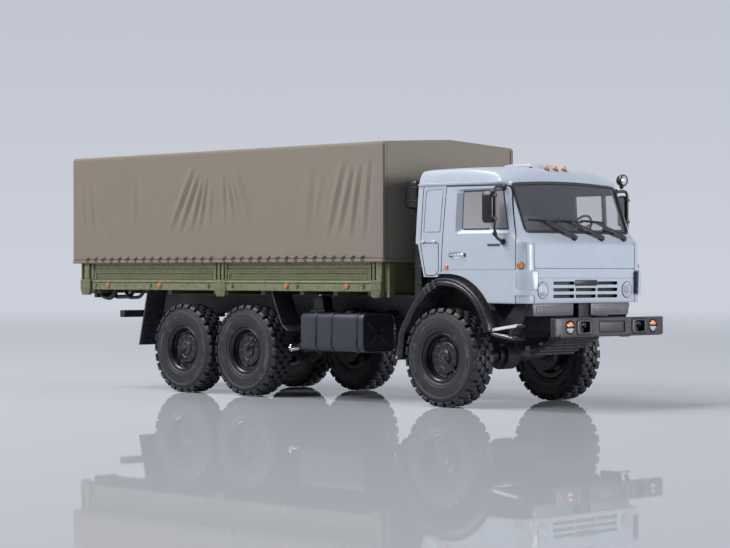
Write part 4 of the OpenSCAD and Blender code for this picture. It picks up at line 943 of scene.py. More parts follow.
def buildFenders():
    path = fenderPath()
    inward = []
    for i in range(len(path)):
        along = (path[min(i + 1, len(path) - 1)] - path[max(i - 1, 0)]).normalized()
        inward.append(Vector((-along.y, along.x)))
    y0, y1 = fender["y"]
    section = [(0, y0), (0, y1 - 0.45), (0.12, y1 - 0.15), (0.4, y1 - 0.05), (0.62, y1 - 0.18),
               (0.78, y1 - 0.38), (0.95, y1 - 0.38), (1.1, y1 - 0.1), (1.3, y1), (1.5, y1 - 0.1),
               (1.62, y1 - 0.36), (1.78, y1 - 0.36), (1.92, y1 - 0.08), (2.1, y1 - 0.08),
               (fender["lip"], y1 - 0.25), (fender["lip"], y1 - 0.7), (0.9, y1 - 0.9), (0.8, y1 - 1.4),
               (0.8, y0)]
    guard = Stock(fenderBlack)
    rows = [[(p.x + n.x * t, y, p.y + n.y * t) for t, y in section] for p, n in zip(path, inward)]
    guard.rings(rows)
    for i in range(fender["clampRibs"]):  # the ribbed joint above the tail
        x = between(*fender["clamp"], (i + 0.5) / fender["clampRibs"])
        k = min(range(len(path)), key=lambda j: abs(path[j].x - x) if path[j].y > 30 else 99)
        a, n = path[k], inward[k]
        along = Vector((n.y, -n.x))
        place = lambda u, v, w: (a.x + along.x * u + n.x * v, w, a.y + along.y * u + n.y * v)
        guard.plate([(-0.38, -0.12), (0.38, -0.12), (0.38, 2.5), (-0.38, 2.5)], place, y1 - 0.8,
                    y1 + 0.22, 0.12)
    guard.look = slotBlack
    wall = [p + n * 0.4 for p, n in zip(path, inward) if p.y > 24]
    guard.plate(wall, sideOn, y0 - 0.2, y0 + 0.3)
    # a black sheet fills the gap between the cab's arch and the fender's lip: painted shade in the gap
    band = [p + n * 0.4 for p, n in zip(path, inward) if p.y > 29 and p.x > -3]
    reveal = cab["archR"] + 0.6
    outer = arc(cab["archX"], cab["archZ"], reveal, 25, 90, 24) + [Vector((-2.2, cab["archZ"] + reveal))]
    guard.plate(band + outer[::-1], sideOn, 25.2, 25.6)
    end = path[-1]
    guard.look = sealRubber
    guard.block((end.x - 0.1, end.x + 0.75), (y0 + 0.3, y1 - 0.2), (end.y - 0.4, end.y + 3.2), 0.15)
    piece("fender_pair", guard.both(), ["front_fenders"], angle=40)

    ladder = Stock(fenderBlack)
    (u0, u1), t = steps["y"], steps["thick"]
    for ends in steps["treads"]:
        back, front = [Vector(end) for end in ends]

        def tread(a, b, low, high, y, soften):  # a slab along the tread, between two shares of its length
            p, q = back.lerp(front, a), back.lerp(front, b)
            ladder.plate([(p.x, p.y + low), (q.x, q.y + low), (q.x, q.y + high), (p.x, p.y + high)],
                         sideOn, *y, soften)

        ladder.look = fenderBlack
        tread(0, 1, 0, t, (u0, u1), 0.12)
        # the tread tops in near-white grey: painted highlight
        ladder.look = treadHighlightGrey
        tread(0.03, 0.97, t - 0.1, t + 0.12, (u0 + 1.0, u1 - 0.05), 0.06)
        for k in range(10):
            share = between(0.06, 0.92, k / 9)
            tread(share, share + 0.03, t, t + 0.24, (u0 + 1.2, u1 - 0.2), 0.06)
        if front.y > back.y:
            tread(0, 1, 0.05, t + 0.1, (u1 - 0.12, u1 + 0.06), 0.05)
    ladder.look = trimBlack
    inner = [(18.6, 20.4), (25.6, 20.4), (27.2, 23.8), (29.4, 30.4), (25.2, 30.4), (21.9, 27), (18.6, 23.6)]
    ladder.plate(softCorners(inner, 0.6), sideOn, u0, u0 + 0.8, 0.15)
    outer = [(24.6, 20.6), (25.8, 20.4), (27.6, 24.2), (26.2, 24.3)]
    ladder.plate(softCorners(outer, 0.4), sideOn, u1 - 1, u1 - 0.2, 0.15)
    piece("step_pair", ladder.both(), ["cab_steps"])


buildFenders()


# Mirrors, search lamp and air intake

mirror = {
    "armY": 30.3, "barX": 23.1, "low": (23.4, 48.4), "high": (22.4, 64.0), "swing": 13,
    "head": {"long": 3.7, "half": 0.75, "z": (53.7, 63.0)},
}
intake = {
    "x": (-15.8, -12.6), "y": (-23.0, -19.6), "neck": 58.6, "bands": (36, 41, 46, 51, 56),
    "headX": (-18.7, -13.2), "headY": (-24.4, -20.8),
}


def buildMirrors():
    arm = Stock(trimBlack)
    y, x = mirror["armY"], mirror["barX"]
    (lx, lz), (hx, hz) = mirror["low"], mirror["high"]
    bar = [(lx, cabSide(lx, lz) + 0.1, lz), (x, y, lz + 1.4), (x, y, hz + 0.4),
           (hx, cabSide(hx, hz) + 0.1, hz)]
    arm.tube(softCorners(bar, 1.8, 6, False), 0.45, 12)
    for a, c in (mirror["low"], mirror["high"]):
        arm.ball((a, cabSide(a, c) + 0.25, c), (0.95, 0.6, 0.95), 18)
    arm.ball((x, y, lz + 2.3), (0.8, 0.8, 0.8), 16)
    head = mirror["head"]
    (z0, z1), t = head["z"], head["half"]
    middle = Vector((head["long"] / 2, (z0 + z1) / 2))
    outline = roundRect(head["long"], z1 - z0, 1.2, *middle)
    turn = math.radians(mirror["swing"])
    back, out = Vector((-math.cos(turn), math.sin(turn))), Vector((math.sin(turn), math.cos(turn)))

    def swung(u, v, w):  # back along the head, up, outward
        return (x - 0.3 + back.x * u + out.x * w, y + 0.2 + back.y * u + out.y * w, v)

    rows = []
    for w, grow in ((-t, 0.93), (-t + 0.12, 1), (-0.1, 1), (t - 0.4, 0.95), (t - 0.12, 0.84), (t, 0.64)):
        rows.append([swung(*(middle + (p - middle) * grow), w) for p in outline])
    arm.rings(rows)
    for z in (55, 61.6):
        arm.block((x - 0.9, x + 0.55), (y - 0.55, y + 0.7), (z - 0.4, z + 0.4), 0.15)
    arm.look = mirrorGlass
    arm.plate([tuple(middle + (p - middle) * 0.88) for p in outline], swung, -t - 0.08, -t + 0.1)
    piece("mirror_pair", arm.both(), ["mirrors"])

    low, high = reach("search_lamp")
    r = (high.y - low.y) / 2
    centre = Vector(((low.x + high.x) / 2, (low.y + high.y) / 2, high.z - r))
    lamp = Stock(trimBlack)
    lamp.spin([(0, -1.5), (0.9, -1.4), (1.5, -0.9), (r, 0.2), (r, 0.9), (r - 0.12, 1.1), (r - 0.3, 1.1),
               (r - 0.32, 0.8), (0, 0.6)], centre, (1, 0, 0), 32)
    lamp.tube(softCorners([centre - Vector((0.2, 0, r - 0.1)), (centre.x, centre.y, low.z + 1),
                           (centre.x + 0.1, centre.y, low.z)], 0.4, 4, False), 0.5, 10)
    lamp.ball((centre.x, centre.y, centre.z - r - 0.1), (0.75, 0.75, 0.6), 16)
    lamp.look = clearLens
    lamp.spin([(r - 0.34, 0.85), (1.0, 1.15), (0.5, 1.24), (0, 1.26), (0, 0.7), (r - 0.34, 0.7)], centre,
              (1, 0, 0), 32)
    piece("search_lamp_body", lamp, ["search_lamp"])

    low, high = reach("air_intake")
    neck, top = intake["neck"], high.z
    (x0, x1), (y0, y1) = intake["x"], intake["y"]
    duct = Stock(trimBlack)
    duct.block((x0, x1), (y0, y1), (low.z, neck + 0.4), 0.6, 3)
    for z in intake["bands"]:  # stiffening bands
        duct.block((x0 - 0.12, x1 + 0.12), (y0 - 0.12, y1 + 0.12), (z, z + 0.7), 0.2)
    across = intake["headX"], intake["headY"]
    duct.block(*across, (neck, top), 1.1, 4)
    for z in (neck + 2.2, top - 2.6):  # clamping bands
        duct.block(*[(a - 0.1, b + 0.1) for a, b in across], (z, z + 0.5), 0.2)
    duct.block((x0 + 0.4, intake["headX"][1]), (y1 - 0.5, high.y), (low.z, low.z + 1.2), 0.2)
    piece("intake_duct", duct, ["air_intake"])


buildMirrors()


# Orange markers

markers = {"bedXs": (-155, -127.6, -65.7, -38.6), "bedZ": 35.35, "bedY": 28.62, "door": (1.3, 41.2),
           "roofX": 19.9, "roofYs": (-4, 0, 4), "cornerZ": 41.5, "cornerTurn": 25}


def buildMarkers():
    side = Stock(amberLens)
    dome = [(0.72, 0), (0.74, 0.25), (0.6, 0.48), (0.3, 0.6), (0, 0.62)]
    for x in markers["bedXs"]:
        side.look = bedOlive
        side.spin([(0.95, 0), (0.95, 0.15), (0.8, 0.22), (0, 0.22)], (x, markers["bedY"], markers["bedZ"]),
                  (0, 1, 0), 20)
        side.look = amberLens
        side.spin(dome, (x, markers["bedY"] + 0.1, markers["bedZ"]), (0, 1, 0), 20)
    x, z = markers["door"]
    side.spin([(0.7, 0), (0.72, 0.2), (0.5, 0.38), (0, 0.42)], (x, 27.02, z), (0, 1, 0), 20)
    front, _, half, corner, _ = cabRow(markers["cornerZ"])
    turn = math.radians(markers["cornerTurn"])
    out = Vector((math.sin(turn), math.cos(turn), 0))
    place = Vector((front - corner, half - corner, markers["cornerZ"]))
    side.look = trimBlack
    side.spin([(1.0, 2.6), (1.1, 3.4), (0.9, 3.5), (0, 3.45)], place, out, 24)
    side.look = amberLens
    side.spin([(0.85, 3.2), (0.88, 3.55), (0.75, 3.75), (0.4, 3.86), (0, 3.9)], place, out, 24)
    side.both()
    for y in markers["roofYs"]:
        z = 69.85
        side.look = trimBlack
        side.block((markers["roofX"] - 0.8, markers["roofX"] + 0.8), (y - 0.7, y + 0.7),
                   (z - 0.8, z + 0.4), 0.25)
        side.look = amberLens
        side.ball((markers["roofX"] + 0.1, y, z + 0.6), (0.78, 0.68, 0.78), 20)
    side.look = trimBlack
    side.spin([(0.55, -0.3), (0.5, 0.3), (0.25, 0.5), (0, 0.5)], (17.6, -8.2, 70.2), (0, 0, 1), 14)
    piece("marker_set", side, ["marker_lamps"])


buildMarkers()
print("fittings built")


# Wheels: the wheel's own axis is Z, outer side up

wheel = {
    "radius": 14.6, "half": 4.1, "root": 13.75, "lugs": 26,
    "flange": 7.4, "hubR": 4.7, "hubTop": 1.8, "bolts": 10, "boltRing": 3.75,
    "capRing": 1.68, "rimRing": 5.5,
}


def tyreStock():
    r, h, root = wheel["radius"], wheel["half"], wheel["root"]
    tyre = Stock(tyreRubber)
    wall = [(6.65, 2.9), (7.5, 2.9), (7.58, 3.55), (7.75, 3.7), (8.3, 3.92), (8.6, 3.92), (8.75, 4.04),
            (9.1, 4.06), (10.2, 4.06), (11.2, 4.04), (11.5, 3.96), (11.55, h), (11.68, h), (11.73, 3.96),
            (11.92, 3.95), (11.97, h), (12.11, h), (12.17, 3.93), (12.6, 3.84), (13.1, 3.66), (13.5, 3.42),
            (root, 3.0), (root + 0.05, 1.8)]
    tyre.rings([[(a * math.cos(t), a * math.sin(t), z) for t in spread(0, 2 * math.pi, 105)[:-1]]
                for a, z in wall + [(a, -z) for a, z in wall[::-1]]], close=True)
    pitch = 2 * math.pi / wheel["lugs"]

    # an outline of (along the tread, across it), raised from low to high
    def block(outline, low, high, lean=0.93):
        lug = Stock(tyreRubber)
        mid = Vector((sum(p[0] for p in outline), sum(p[1] for p in outline))) / len(outline)
        rows = []
        for height, grow in ((low, 1.08), (high, lean)):
            ring = [mid + (Vector(p) - mid) * grow for p in outline]
            rows.append([(height * math.cos(u / r), height * math.sin(u / r), v) for u, v in ring])
        return lug.rings(rows, soften=0.12)

    shoulder = Stock(tyreRubber)
    section = [(13.4, 1.65), (r - 0.05, 1.75), (r, 3.4), (14.0, 3.86), (13.45, h - 0.08),
               (13.2, 3.7), (13.4, 3.1)]
    rows = []
    for turn, grow in ((-1.2, 0), (-1.08, 1), (1.08, 1), (1.2, 0)):
        rows.append([((a - 0.1 * (1 - grow)) * math.cos(turn / r),
                      (a - 0.1 * (1 - grow)) * math.sin(turn / r), z) for a, z in section])
    shoulder.rings(rows, soften=0.13)
    inner = block([(-1.4, 0.2), (0.7, 0.08), (1.4, 0.6), (1.2, 1.75), (-0.6, 1.85), (-1.3, 1.2)],
                  root - 0.1, r - 0.03)
    for k in range(wheel["lugs"]):
        for flip in (1, -1):
            offset = 0 if flip > 0 else 0.5
            mirror = Matrix.Diagonal((1, flip, flip, 1))
            tyre.copy(shoulder, Matrix.Rotation((k + offset) * pitch, 4, "Z") @ mirror)
            tyre.copy(inner, Matrix.Rotation((k + offset + 0.5) * pitch, 4, "Z") @ mirror)
    return tyre


def rimStock():
    rim = Stock(rimBlack)
    f, hub, top = wheel["flange"], wheel["hubR"], wheel["hubTop"]
    barrel = [(6.6, -3.5), (f, -3.5), (f, -2.95), (6.6, -2.95), (6.6, 2.95), (f - 0.05, 2.95), (f, 3.1),
              (f, 3.4), (f - 0.15, 3.52), (f - 0.45, 3.5), (f - 0.6, 3.25), (6.55, 3.1), (6.4, 2.8),
              (6.35, 1.8), (6.1, 1.5), (5.95, 0.9), (5.85, 0.7), (5.9, -2.4), (6.1, -3.4)]
    rim.rings([[(a * math.cos(t), a * math.sin(t), z) for t in spread(0, 2 * math.pi, 65)[:-1]]
               for a, z in barrel], close=True)
    disc = [(0, top + 0.9), (0.5, top + 0.9), (0.62, top + 0.75), (0.95, top + 0.72), (1.25, top + 0.6),
            (2.1, top + 0.55), (2.3, top + 0.4), (2.4, top + 0.02), (2.95, top - 0.05), (3.1, top + 0.08),
            (4.35, top + 0.08), (4.6, top - 0.05), (hub, top - 0.3), (hub + 0.1, 0.95), (5.1, 0.7),
            (5.5, 0.75), (6.05, 0.95), (6.05, -0.1), (2.4, -0.2), (2.4, -3.4), (0, -3.4)]
    rim.look = hubGrey
    rim.spin(disc, (0, 0, 0), (0, 0, 1), 64)

    def circle(look, key, profile, share, turns):  # the profile once per bolt, on one of the wheel's circles
        rim.look = look
        for k in range(wheel["bolts"]):
            a = 2 * math.pi * (k + share) / wheel["bolts"]
            rim.spin(profile, (wheel[key] * math.cos(a), wheel[key] * math.sin(a), 0), (0, 0, 1), turns)

    # black discs on the bolt circle stand for the bolt holes: painted shade
    pit = [(0.72, top), (0.72, top + 0.12), (0, top + 0.12)]
    circle(slotBlack, "boltRing", pit, 0, 14)
    capBolt = [(0.3, top + 0.4), (0.3, top + 0.78), (0.2, top + 0.85), (0, top + 0.86)]
    circle(hubGrey, "capRing", capBolt, 0.5, 6)
    hubBolt = [(0.36, top + 0.05), (0.34, top + 0.3), (0.22, top + 0.38), (0, top + 0.4)]
    circle(hubGrey, "boltRing", hubBolt, 0.5, 6)
    rimBolt = [(0.34, 0.7), (0.34, 1.15), (0.25, 1.25), (0, 1.26)]
    circle(hubGrey, "rimRing", rimBolt, 0.5, 6)
    rim.look = slotBlack
    pipe = [(0.0, 0.3, top + 0.8), (0.8, -0.6, top + 1.3), (2.6, -2.2, top + 1.2), (4.4, -3.7, top + 0.7),
            (5.1, -4.2, top + 0.9), (5.4, -4.4, 2.4)]
    rim.tube(softCorners(pipe, 0.8, 4, False), 0.34, 8)
    rim.block((4.9, 6.2), (-4.9, -3.7), (1.5, 2.5), 0.25)
    return rim


def buildWheels():
    tyreMesh, rimMesh = tyreStock(), rimStock()
    places = {body: (centre, -90 if centre.y > 0 else 90, "X") for body, centre in wheelCentres.items()}
    low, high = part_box("spare_tyre")
    places["chassis"] = ((low + high) / 2, 90, "Y")
    for body, (centre, angle, axis) in places.items():
        for kind, stock, slot in (("tyre", tyreMesh, "tyre_rubber"), ("rim", rimMesh, "rim_black")):
            node = f"spare_{kind}" if body == "chassis" else body.replace("wheel", kind)
            thing = piece(node + "_dressed", stock, (), body, 36, Matrix.Scale(mm, 4))
            turn = Matrix.Rotation(math.radians(90 * (len(node) + 1)), 4, "Z")
            lay = Matrix.Rotation(math.radians(angle), 4, axis)
            thing.matrix_world = Matrix.Translation(centre) @ lay @ turn
            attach(thing, body)
            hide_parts(node)


buildWheels()
print("wheels built")


# Load bed

bed = {
    "back": -170.0, "boardIn": 27.4, "ribIn": 27.6, "post": 28.6, "sillZ": 33.8, "top": 47.0,
    "posts": ((-170.0, -163.1), (-100.0, -94.0), (-28.8, -23.6)),
    # upright ribs of each post, back and front edge
    "postRibs": (((-170.0, -169.3), (-168.3, -165.6), (-164.0, -163.1)),
                 ((-100.0, -99.3), (-98.5, -97.4), (-96.6, -95.5), (-94.7, -94.0)),
                 ((-28.8, -28.4), (-27.8, -26.9), (-26.2, -23.8))),
    "latches": (-161.9, -132.5, -103.0, -91.4, -60.9, -31.7),
    # outer face of the boards from the sill up: distance out, height
    "profile": ((28.5, 33.8), (28.6, 33.95), (28.6, 35.75), (28.45, 35.95), (28.4, 36.25), (28.75, 36.4),
                (28.78, 36.62), (28.5, 36.98), (28.0, 37.1), (28.0, 39.3), (28.22, 39.4), (28.38, 39.55),
                (28.38, 39.8), (28.2, 39.92), (28.2, 40.05), (28.38, 40.17), (28.38, 40.42), (28.2, 40.55),
                (27.85, 40.62), (27.85, 40.95), (28.1, 41.05), (28.1, 47.0)),
}


def bedSide():
    side = Stock(bedOlive)
    closed = [*bed["profile"], (bed["boardIn"], bed["top"]), (bed["boardIn"], bed["sillZ"])]
    spans = list(zip(bed["posts"], bed["posts"][1:]))
    for (_, a), (b, _) in spans:
        side.plate(closed, frontOn, a - 0.4, b + 0.4)
        for x in (a + 0.05, b - 0.85):  # upright edges of the pressed panel
            side.block((x, x + 0.8), (bed["ribIn"], 28.3), (37.0, 39.5), 0.15)
        inset = [(a + 1.7, 37.6), (b - 1.7, 37.6), (b - 1.7, 38.95), (a + 1.7, 38.95)]
        frameLine = softCorners(inset, 0.3)
        side.sweep([(x, 28.0, z) for x, z in frameLine], roundRect(0.24, 0.26, 0.08), (0, 1, 0), True)
    for (a, b), ribs in zip(bed["posts"], bed["postRibs"]):
        # the post's base between its ribs in the darker floor olive: painted shade between the ribs
        side.look = bedFloorOlive
        side.block((a, b), (bed["boardIn"], bed["post"] - 0.5), (bed["sillZ"] - 1.4, bed["top"]), 0.1)
        side.look = bedOlive
        for x0, x1 in ribs:
            side.block((x0, x1), (bed["ribIn"], bed["post"] + 0.05), (36.6, bed["top"]), 0.14)
        c, d = (a - 0.2, b - 1.7) if a == bed["back"] else (a + 0.3, b - 0.3)
        foot = [(c + 0.8, bed["sillZ"] - 1.9), (d - 0.8, bed["sillZ"] - 1.9), (d, bed["sillZ"] + 0.3),
                (d, 37.3), (c, 37.3), (c, bed["sillZ"] + 0.3)]
        side.plate(softCorners(foot, 0.5), sideOn, bed["ribIn"], bed["post"] + 0.3, 0.15)
        for x in spread(c + 0.9, d - 0.9, 3):  # rivets of the bracket
            for z in (34.4, 36.5):
                side.ball((x, bed["post"] + 0.3, z), (0.36, 0.22, 0.36), 12)
    for x in bed["latches"]:
        hook = [(x - 0.7, 28.8, 35.9), (x + 0.2, 28.95, 36.0), (x + 0.55, 28.95, 35.3),
                (x - 0.1, 28.95, 34.8), (x - 0.6, 28.85, 35.1)]
        side.tube(softCorners(hook, 0.4, 4, False), 0.2, 8)
    return side


def buildBed():
    left = bedSide()
    right = Stock(bedOlive).copy(left, Matrix.Diagonal((1, -1, 1, 1)), flip=True)
    piece("side_boards_left", left, ["bed_side_left"])
    piece("side_boards_right", right, ["bed_side_right"])
    gate = Stock(bedOlive)
    face = bed["back"] - 0.2
    half = bed["boardIn"]
    gate.block((face, bed["back"] + 1), (-half, half), (bed["sillZ"], bed["top"]), 0.15)
    for z0, z1, out in ((33.9, 36.2, 0.3), (36.5, 36.95, 0.42), (39.4, 39.85, 0.35), (40.05, 40.5, 0.35)):
        gate.block((face - out, face + 0.3), (-half + 0.3, half - 0.3), (z0, z1), 0.12)
    for y in spread(-22, 22, 5):
        gate.block((face - 0.5, face + 0.3), (y - 0.6, y + 0.6), (34.2, 41.5), 0.2)
        gate.tube([(face - 0.4, y - 1.1, 34.0), (face - 0.4, y + 1.1, 34.0)], 0.45, 10)
    for side in (-1, 1):
        gate.tube(softCorners([(face - 0.3, side * 26.4, 40.3), (face - 0.8, side * 26.4, 40.5),
                               (face - 0.8, side * 26.4, 42.3)], 0.4, 4, False), 0.25, 8)
    piece("tailgate_boards", gate, ["bed_tailgate"])


buildBed()


# Tilt: the moulded cover with its folds

tilt = {
    "wall": 0.7, "eaves": 79.2, "ridge": 80.75, "round": 0.9, "hemTop": 44.15, "foldDepth": 1.1,
    "foldWidth": 0.85, "bows": (-172, -136, -97, -60, -24), "sag": 0.22,
    # fold lines on the right side: top x and z, foot x and z, depth, width
    "foldsRight": (
        (-167.5, 70, -166.5, 52, 0.16, 1.1), (-164.0, 71, -160.8, 51, 0.22, 1.1),
        (-158.5, 69, -153, 56, 0.10, 1.6), (-138.6, 73, -139.5, 51, 0.16, 1.3),
        (-135.5, 70, -131, 56, 0.10, 1.6), (-108.6, 74, -121, 52.5, 0.42, 1.25),
        (-106.4, 71.5, -115.8, 52.5, 0.46, 1.15), (-104.4, 70, -110, 53, 0.42, 1.05),
        (-102.4, 70.5, -105.8, 53, 0.36, 0.95), (-99.8, 68, -101, 54, 0.2, 0.9),
        (-94.2, 71.5, -93.4, 55, 0.28, 0.95), (-92.3, 70.5, -88.6, 55.5, 0.34, 1.0),
        (-90.4, 71, -86.2, 57, 0.26, 1.0), (-88.6, 73, -80, 54.5, 0.34, 1.3), (-70, 68, -66, 55, 0.10, 2.0),
        (-52.4, 73, -54.6, 50, 0.2, 2.0), (-48, 70, -51.5, 54, 0.12, 1.6), (-38.6, 74, -46, 50, 0.36, 1.35),
        (-35, 72, -41.2, 51, 0.40, 1.2), (-31.8, 72.5, -36, 49.5, 0.42, 1.15),
        (-27.6, 74.5, -30.2, 49, 0.34, 1.1)),
    "foldsLeft": (
        (-165, 72, -161, 51, 0.24, 1.2), (-141, 72, -136, 53, 0.18, 1.6), (-106, 73, -117, 52, 0.42, 1.25),
        (-103, 71, -110, 52.5, 0.40, 1.1), (-100.5, 70, -103.5, 53, 0.32, 1.0),
        (-94.5, 72, -91, 54, 0.32, 1.1), (-91.5, 72.5, -83, 54, 0.36, 1.3), (-66, 70, -62, 54, 0.14, 1.9),
        (-40, 73.5, -48, 50.5, 0.34, 1.3), (-35.5, 72, -41, 51, 0.38, 1.2),
        (-29.5, 73, -33, 49.5, 0.36, 1.1)),
    # stretches with folds, spacing of the mesh
    "busy": ((-169, -152), (-142, -132), (-123, -79), (-56, -26)), "fine": 0.42, "coarse": 1.3,
    "hookSpans": ((-164.9, -100.5), (-94.0, -30.9)), "hooksPerSpan": 16,
}


def foldHeight(folds, x, z):
    lift = 0.0
    for x1, z1, x2, z2, depth, width in folds:
        along = Vector((x2 - x1, z2 - z1))
        from1 = Vector((x - x1, z - z1))
        t = from1.dot(along) / along.length_squared
        if -0.05 < t < 1.05:
            across = (from1.x * along.y - from1.y * along.x) / along.length / (width * tilt["foldWidth"])
            taper = math.sin(math.pi * min(max(t, 0), 1)) ** 0.7 * (1 - 0.35 * t)
            crest = math.exp(-(across - 0.75) ** 2) - 0.9 * math.exp(-(across + 0.55) ** 2)
            lift += depth * tilt["foldDepth"] * taper * crest
    return lift


def buildTilt():
    low, high = reach("tilt")
    half, foot, top, ridge, wall = high.y, low.z, tilt["eaves"], tilt["ridge"], tilt["wall"]
    slope = math.degrees(math.atan2(ridge - top, half))
    wallZs = spread(tilt["hemTop"], top - tilt["round"], 56)
    side = [(half - 0.6, foot - 0.05), (half + 0.05, foot - 0.15), (half + 0.26, foot + 0.05),
            (half + 0.3, foot + 0.45), (half + 0.26, foot + 0.8), (half - 0.2, foot + 0.9),
            (half - 0.2, foot + 1.08)]
    side += [(half, z) for z in wallZs]
    r = tilt["round"]
    side += [tuple(p) for p in arc(half - r, top - r, r, 0, 90 - slope, 5)[1:]]
    last = side[-1]
    roof = [(between(last[0], 0, t), between(last[1], ridge, t)) for t in spread(0, 1, 10)[1:]]
    leftHalf = side + roof
    section = [(-y, z) for y, z in leftHalf] + leftHalf[-2::-1]
    stations = [low.x, low.x + 0.12, low.x + 0.45, low.x + 0.9]
    while stations[-1] < high.x - 0.9 - tilt["coarse"]:
        x = stations[-1]
        stations.append(x + tilt["fine" if any(a < x < b for a, b in tilt["busy"]) else "coarse"])
    stations += [high.x - 0.9, high.x - 0.45, high.x - 0.12, high.x]
    inset = {0: 0.5, 1: 0.16, 2: 0.02}
    rows = []
    for k, x in enumerate(stations):
        pull = inset.get(k, inset.get(len(stations) - 1 - k, 0))
        ring = []
        for y, z in section:
            grow = 0
            if z > foot + 1.1 and abs(y) > half - 0.01:
                grow = foldHeight(tilt["foldsRight" if y < 0 else "foldsLeft"], x, z)
                belly = math.sin(math.pi * (z - foot) / (top - foot))
                grow += 0.1 * belly * noise.noise((x * 0.06, y * 0.2, z * 0.09))
            drop = 0
            if abs(y) < half - 0.8:
                nearest = min(abs(x - b) for b in tilt["bows"])
                drop = tilt["sag"] * min(1, nearest / 12) * (1 - abs(y) / half) ** 0.3
            edge = math.copysign(1, y) if abs(y) > 0.01 else 0
            ring.append((x, y - edge * (pull - grow) if abs(y) > half - 1.5 else y,
                         z - (pull if z > top - 1.5 else 0) - drop))
        rows.append(ring)
    cover = Stock(tiltCanvas).rings(rows, loop=False)
    roofLine = [(-half + wall, foot), (-half + wall, top - wall), (0, ridge - 1), (half - wall, top - wall),
                (half - wall, foot)]
    cover.rings([[(x, y, z) for y, z in roofLine] for x in (low.x + wall, high.x - wall)], loop=False)
    # end faces: a strap down each corner, and the hem
    for x, out in ((high.x, 1), (low.x, -1)):
        flap = Stock(tiltCanvas)
        flap.block((x - 0.4, x + 0.22), (-half + 0.2, half - 0.2), (foot - 0.1, foot + 0.8), 0.15)
        for y in (-half + 0.95, half - 0.95):
            flap.look = tiltCanvas
            flap.block((x - 0.3, x + 0.16), (y - 0.5, y + 0.5), (foot + 0.9, top - 0.9), 0.08)
            flap.look = sealRubber
            for line in (y - 0.62, y + 0.62):
                flap.block((x - 0.3, x + 0.04), (line - 0.09, line + 0.09), (foot + 0.9, top - 0.9))
        flap.look = tiltCanvas
        if out < 0:  # the rear flap's overlap, laced down the middle
            flap.block((x - 0.3, x + 0.3), (-1.6, 2.2), (foot + 0.6, top - 1.2), 0.15)
        turned = Matrix.Translation((2 * x, 0, 0)) @ Matrix.Diagonal((-1, 1, 1, 1))
        cover.copy(flap, turned if out < 0 else Matrix.Identity(4), out < 0)
    piece("tilt_cover", cover, ["tilt"], angle=40)

    cords = Stock(hookPaintedShade)
    for a, b in tilt["hookSpans"]:
        for x in spread(a, b, tilt["hooksPerSpan"]):  # hooks open to the front; their dark brown is painted shade round each hook
            loop = [(x + 0.75, half + 0.2, foot + 1.75), (x - 0.15, half + 0.45, foot + 1.45),
                    (x - 0.4, half + 0.5, foot + 0.85), (x + 0.05, half + 0.5, foot + 0.3),
                    (x + 0.6, half + 0.4, foot + 0.35)]
            cords.tube(softCorners(loop, 0.5, 4, False), 0.25, 7)
    piece("tilt_cords", cords.both())


buildTilt()
print("bed and tilt built")


# Tank, boxes, lamps at the back

tank = {"x": (-60.5, -32.9), "y": (-27.5, -13.5), "z": (15.2, 27.1), "corner": 2.2,
        "straps": (-36, -47, -54), "cap": (-42, -23.4), "filterBolt": (-58, -21.2),
        "tipMouth": (-66.0, -25.85, 15.9), "tipRoot": (-65.1, -23.8, 16.2),
        # hoses under the bed's rear end: place along Y, radius, points along X and Z
        "airLines": ((-23, 0.9, ((-166.5, 34.5), (-165.2, 31.6), (-161.2, 30.8), (-158.6, 32.2),
                                 (-158, 34.5))),
                     (-21.5, 0.7, ((-161.5, 34.5), (-160, 31.2), (-152, 31.4), (-149, 34.5))),
                     (-22.6, 0.6, ((-154.5, 34.5), (-151, 31.0), (-145.5, 31.2), (-141.5, 34.5))))}
tail = {"y": (15.0, 24.0),
        "lenses": ((amberLens, 21.2, 23.7), (redLens, 17.9, 21.0), (clearLens, 15.3, 17.7))}


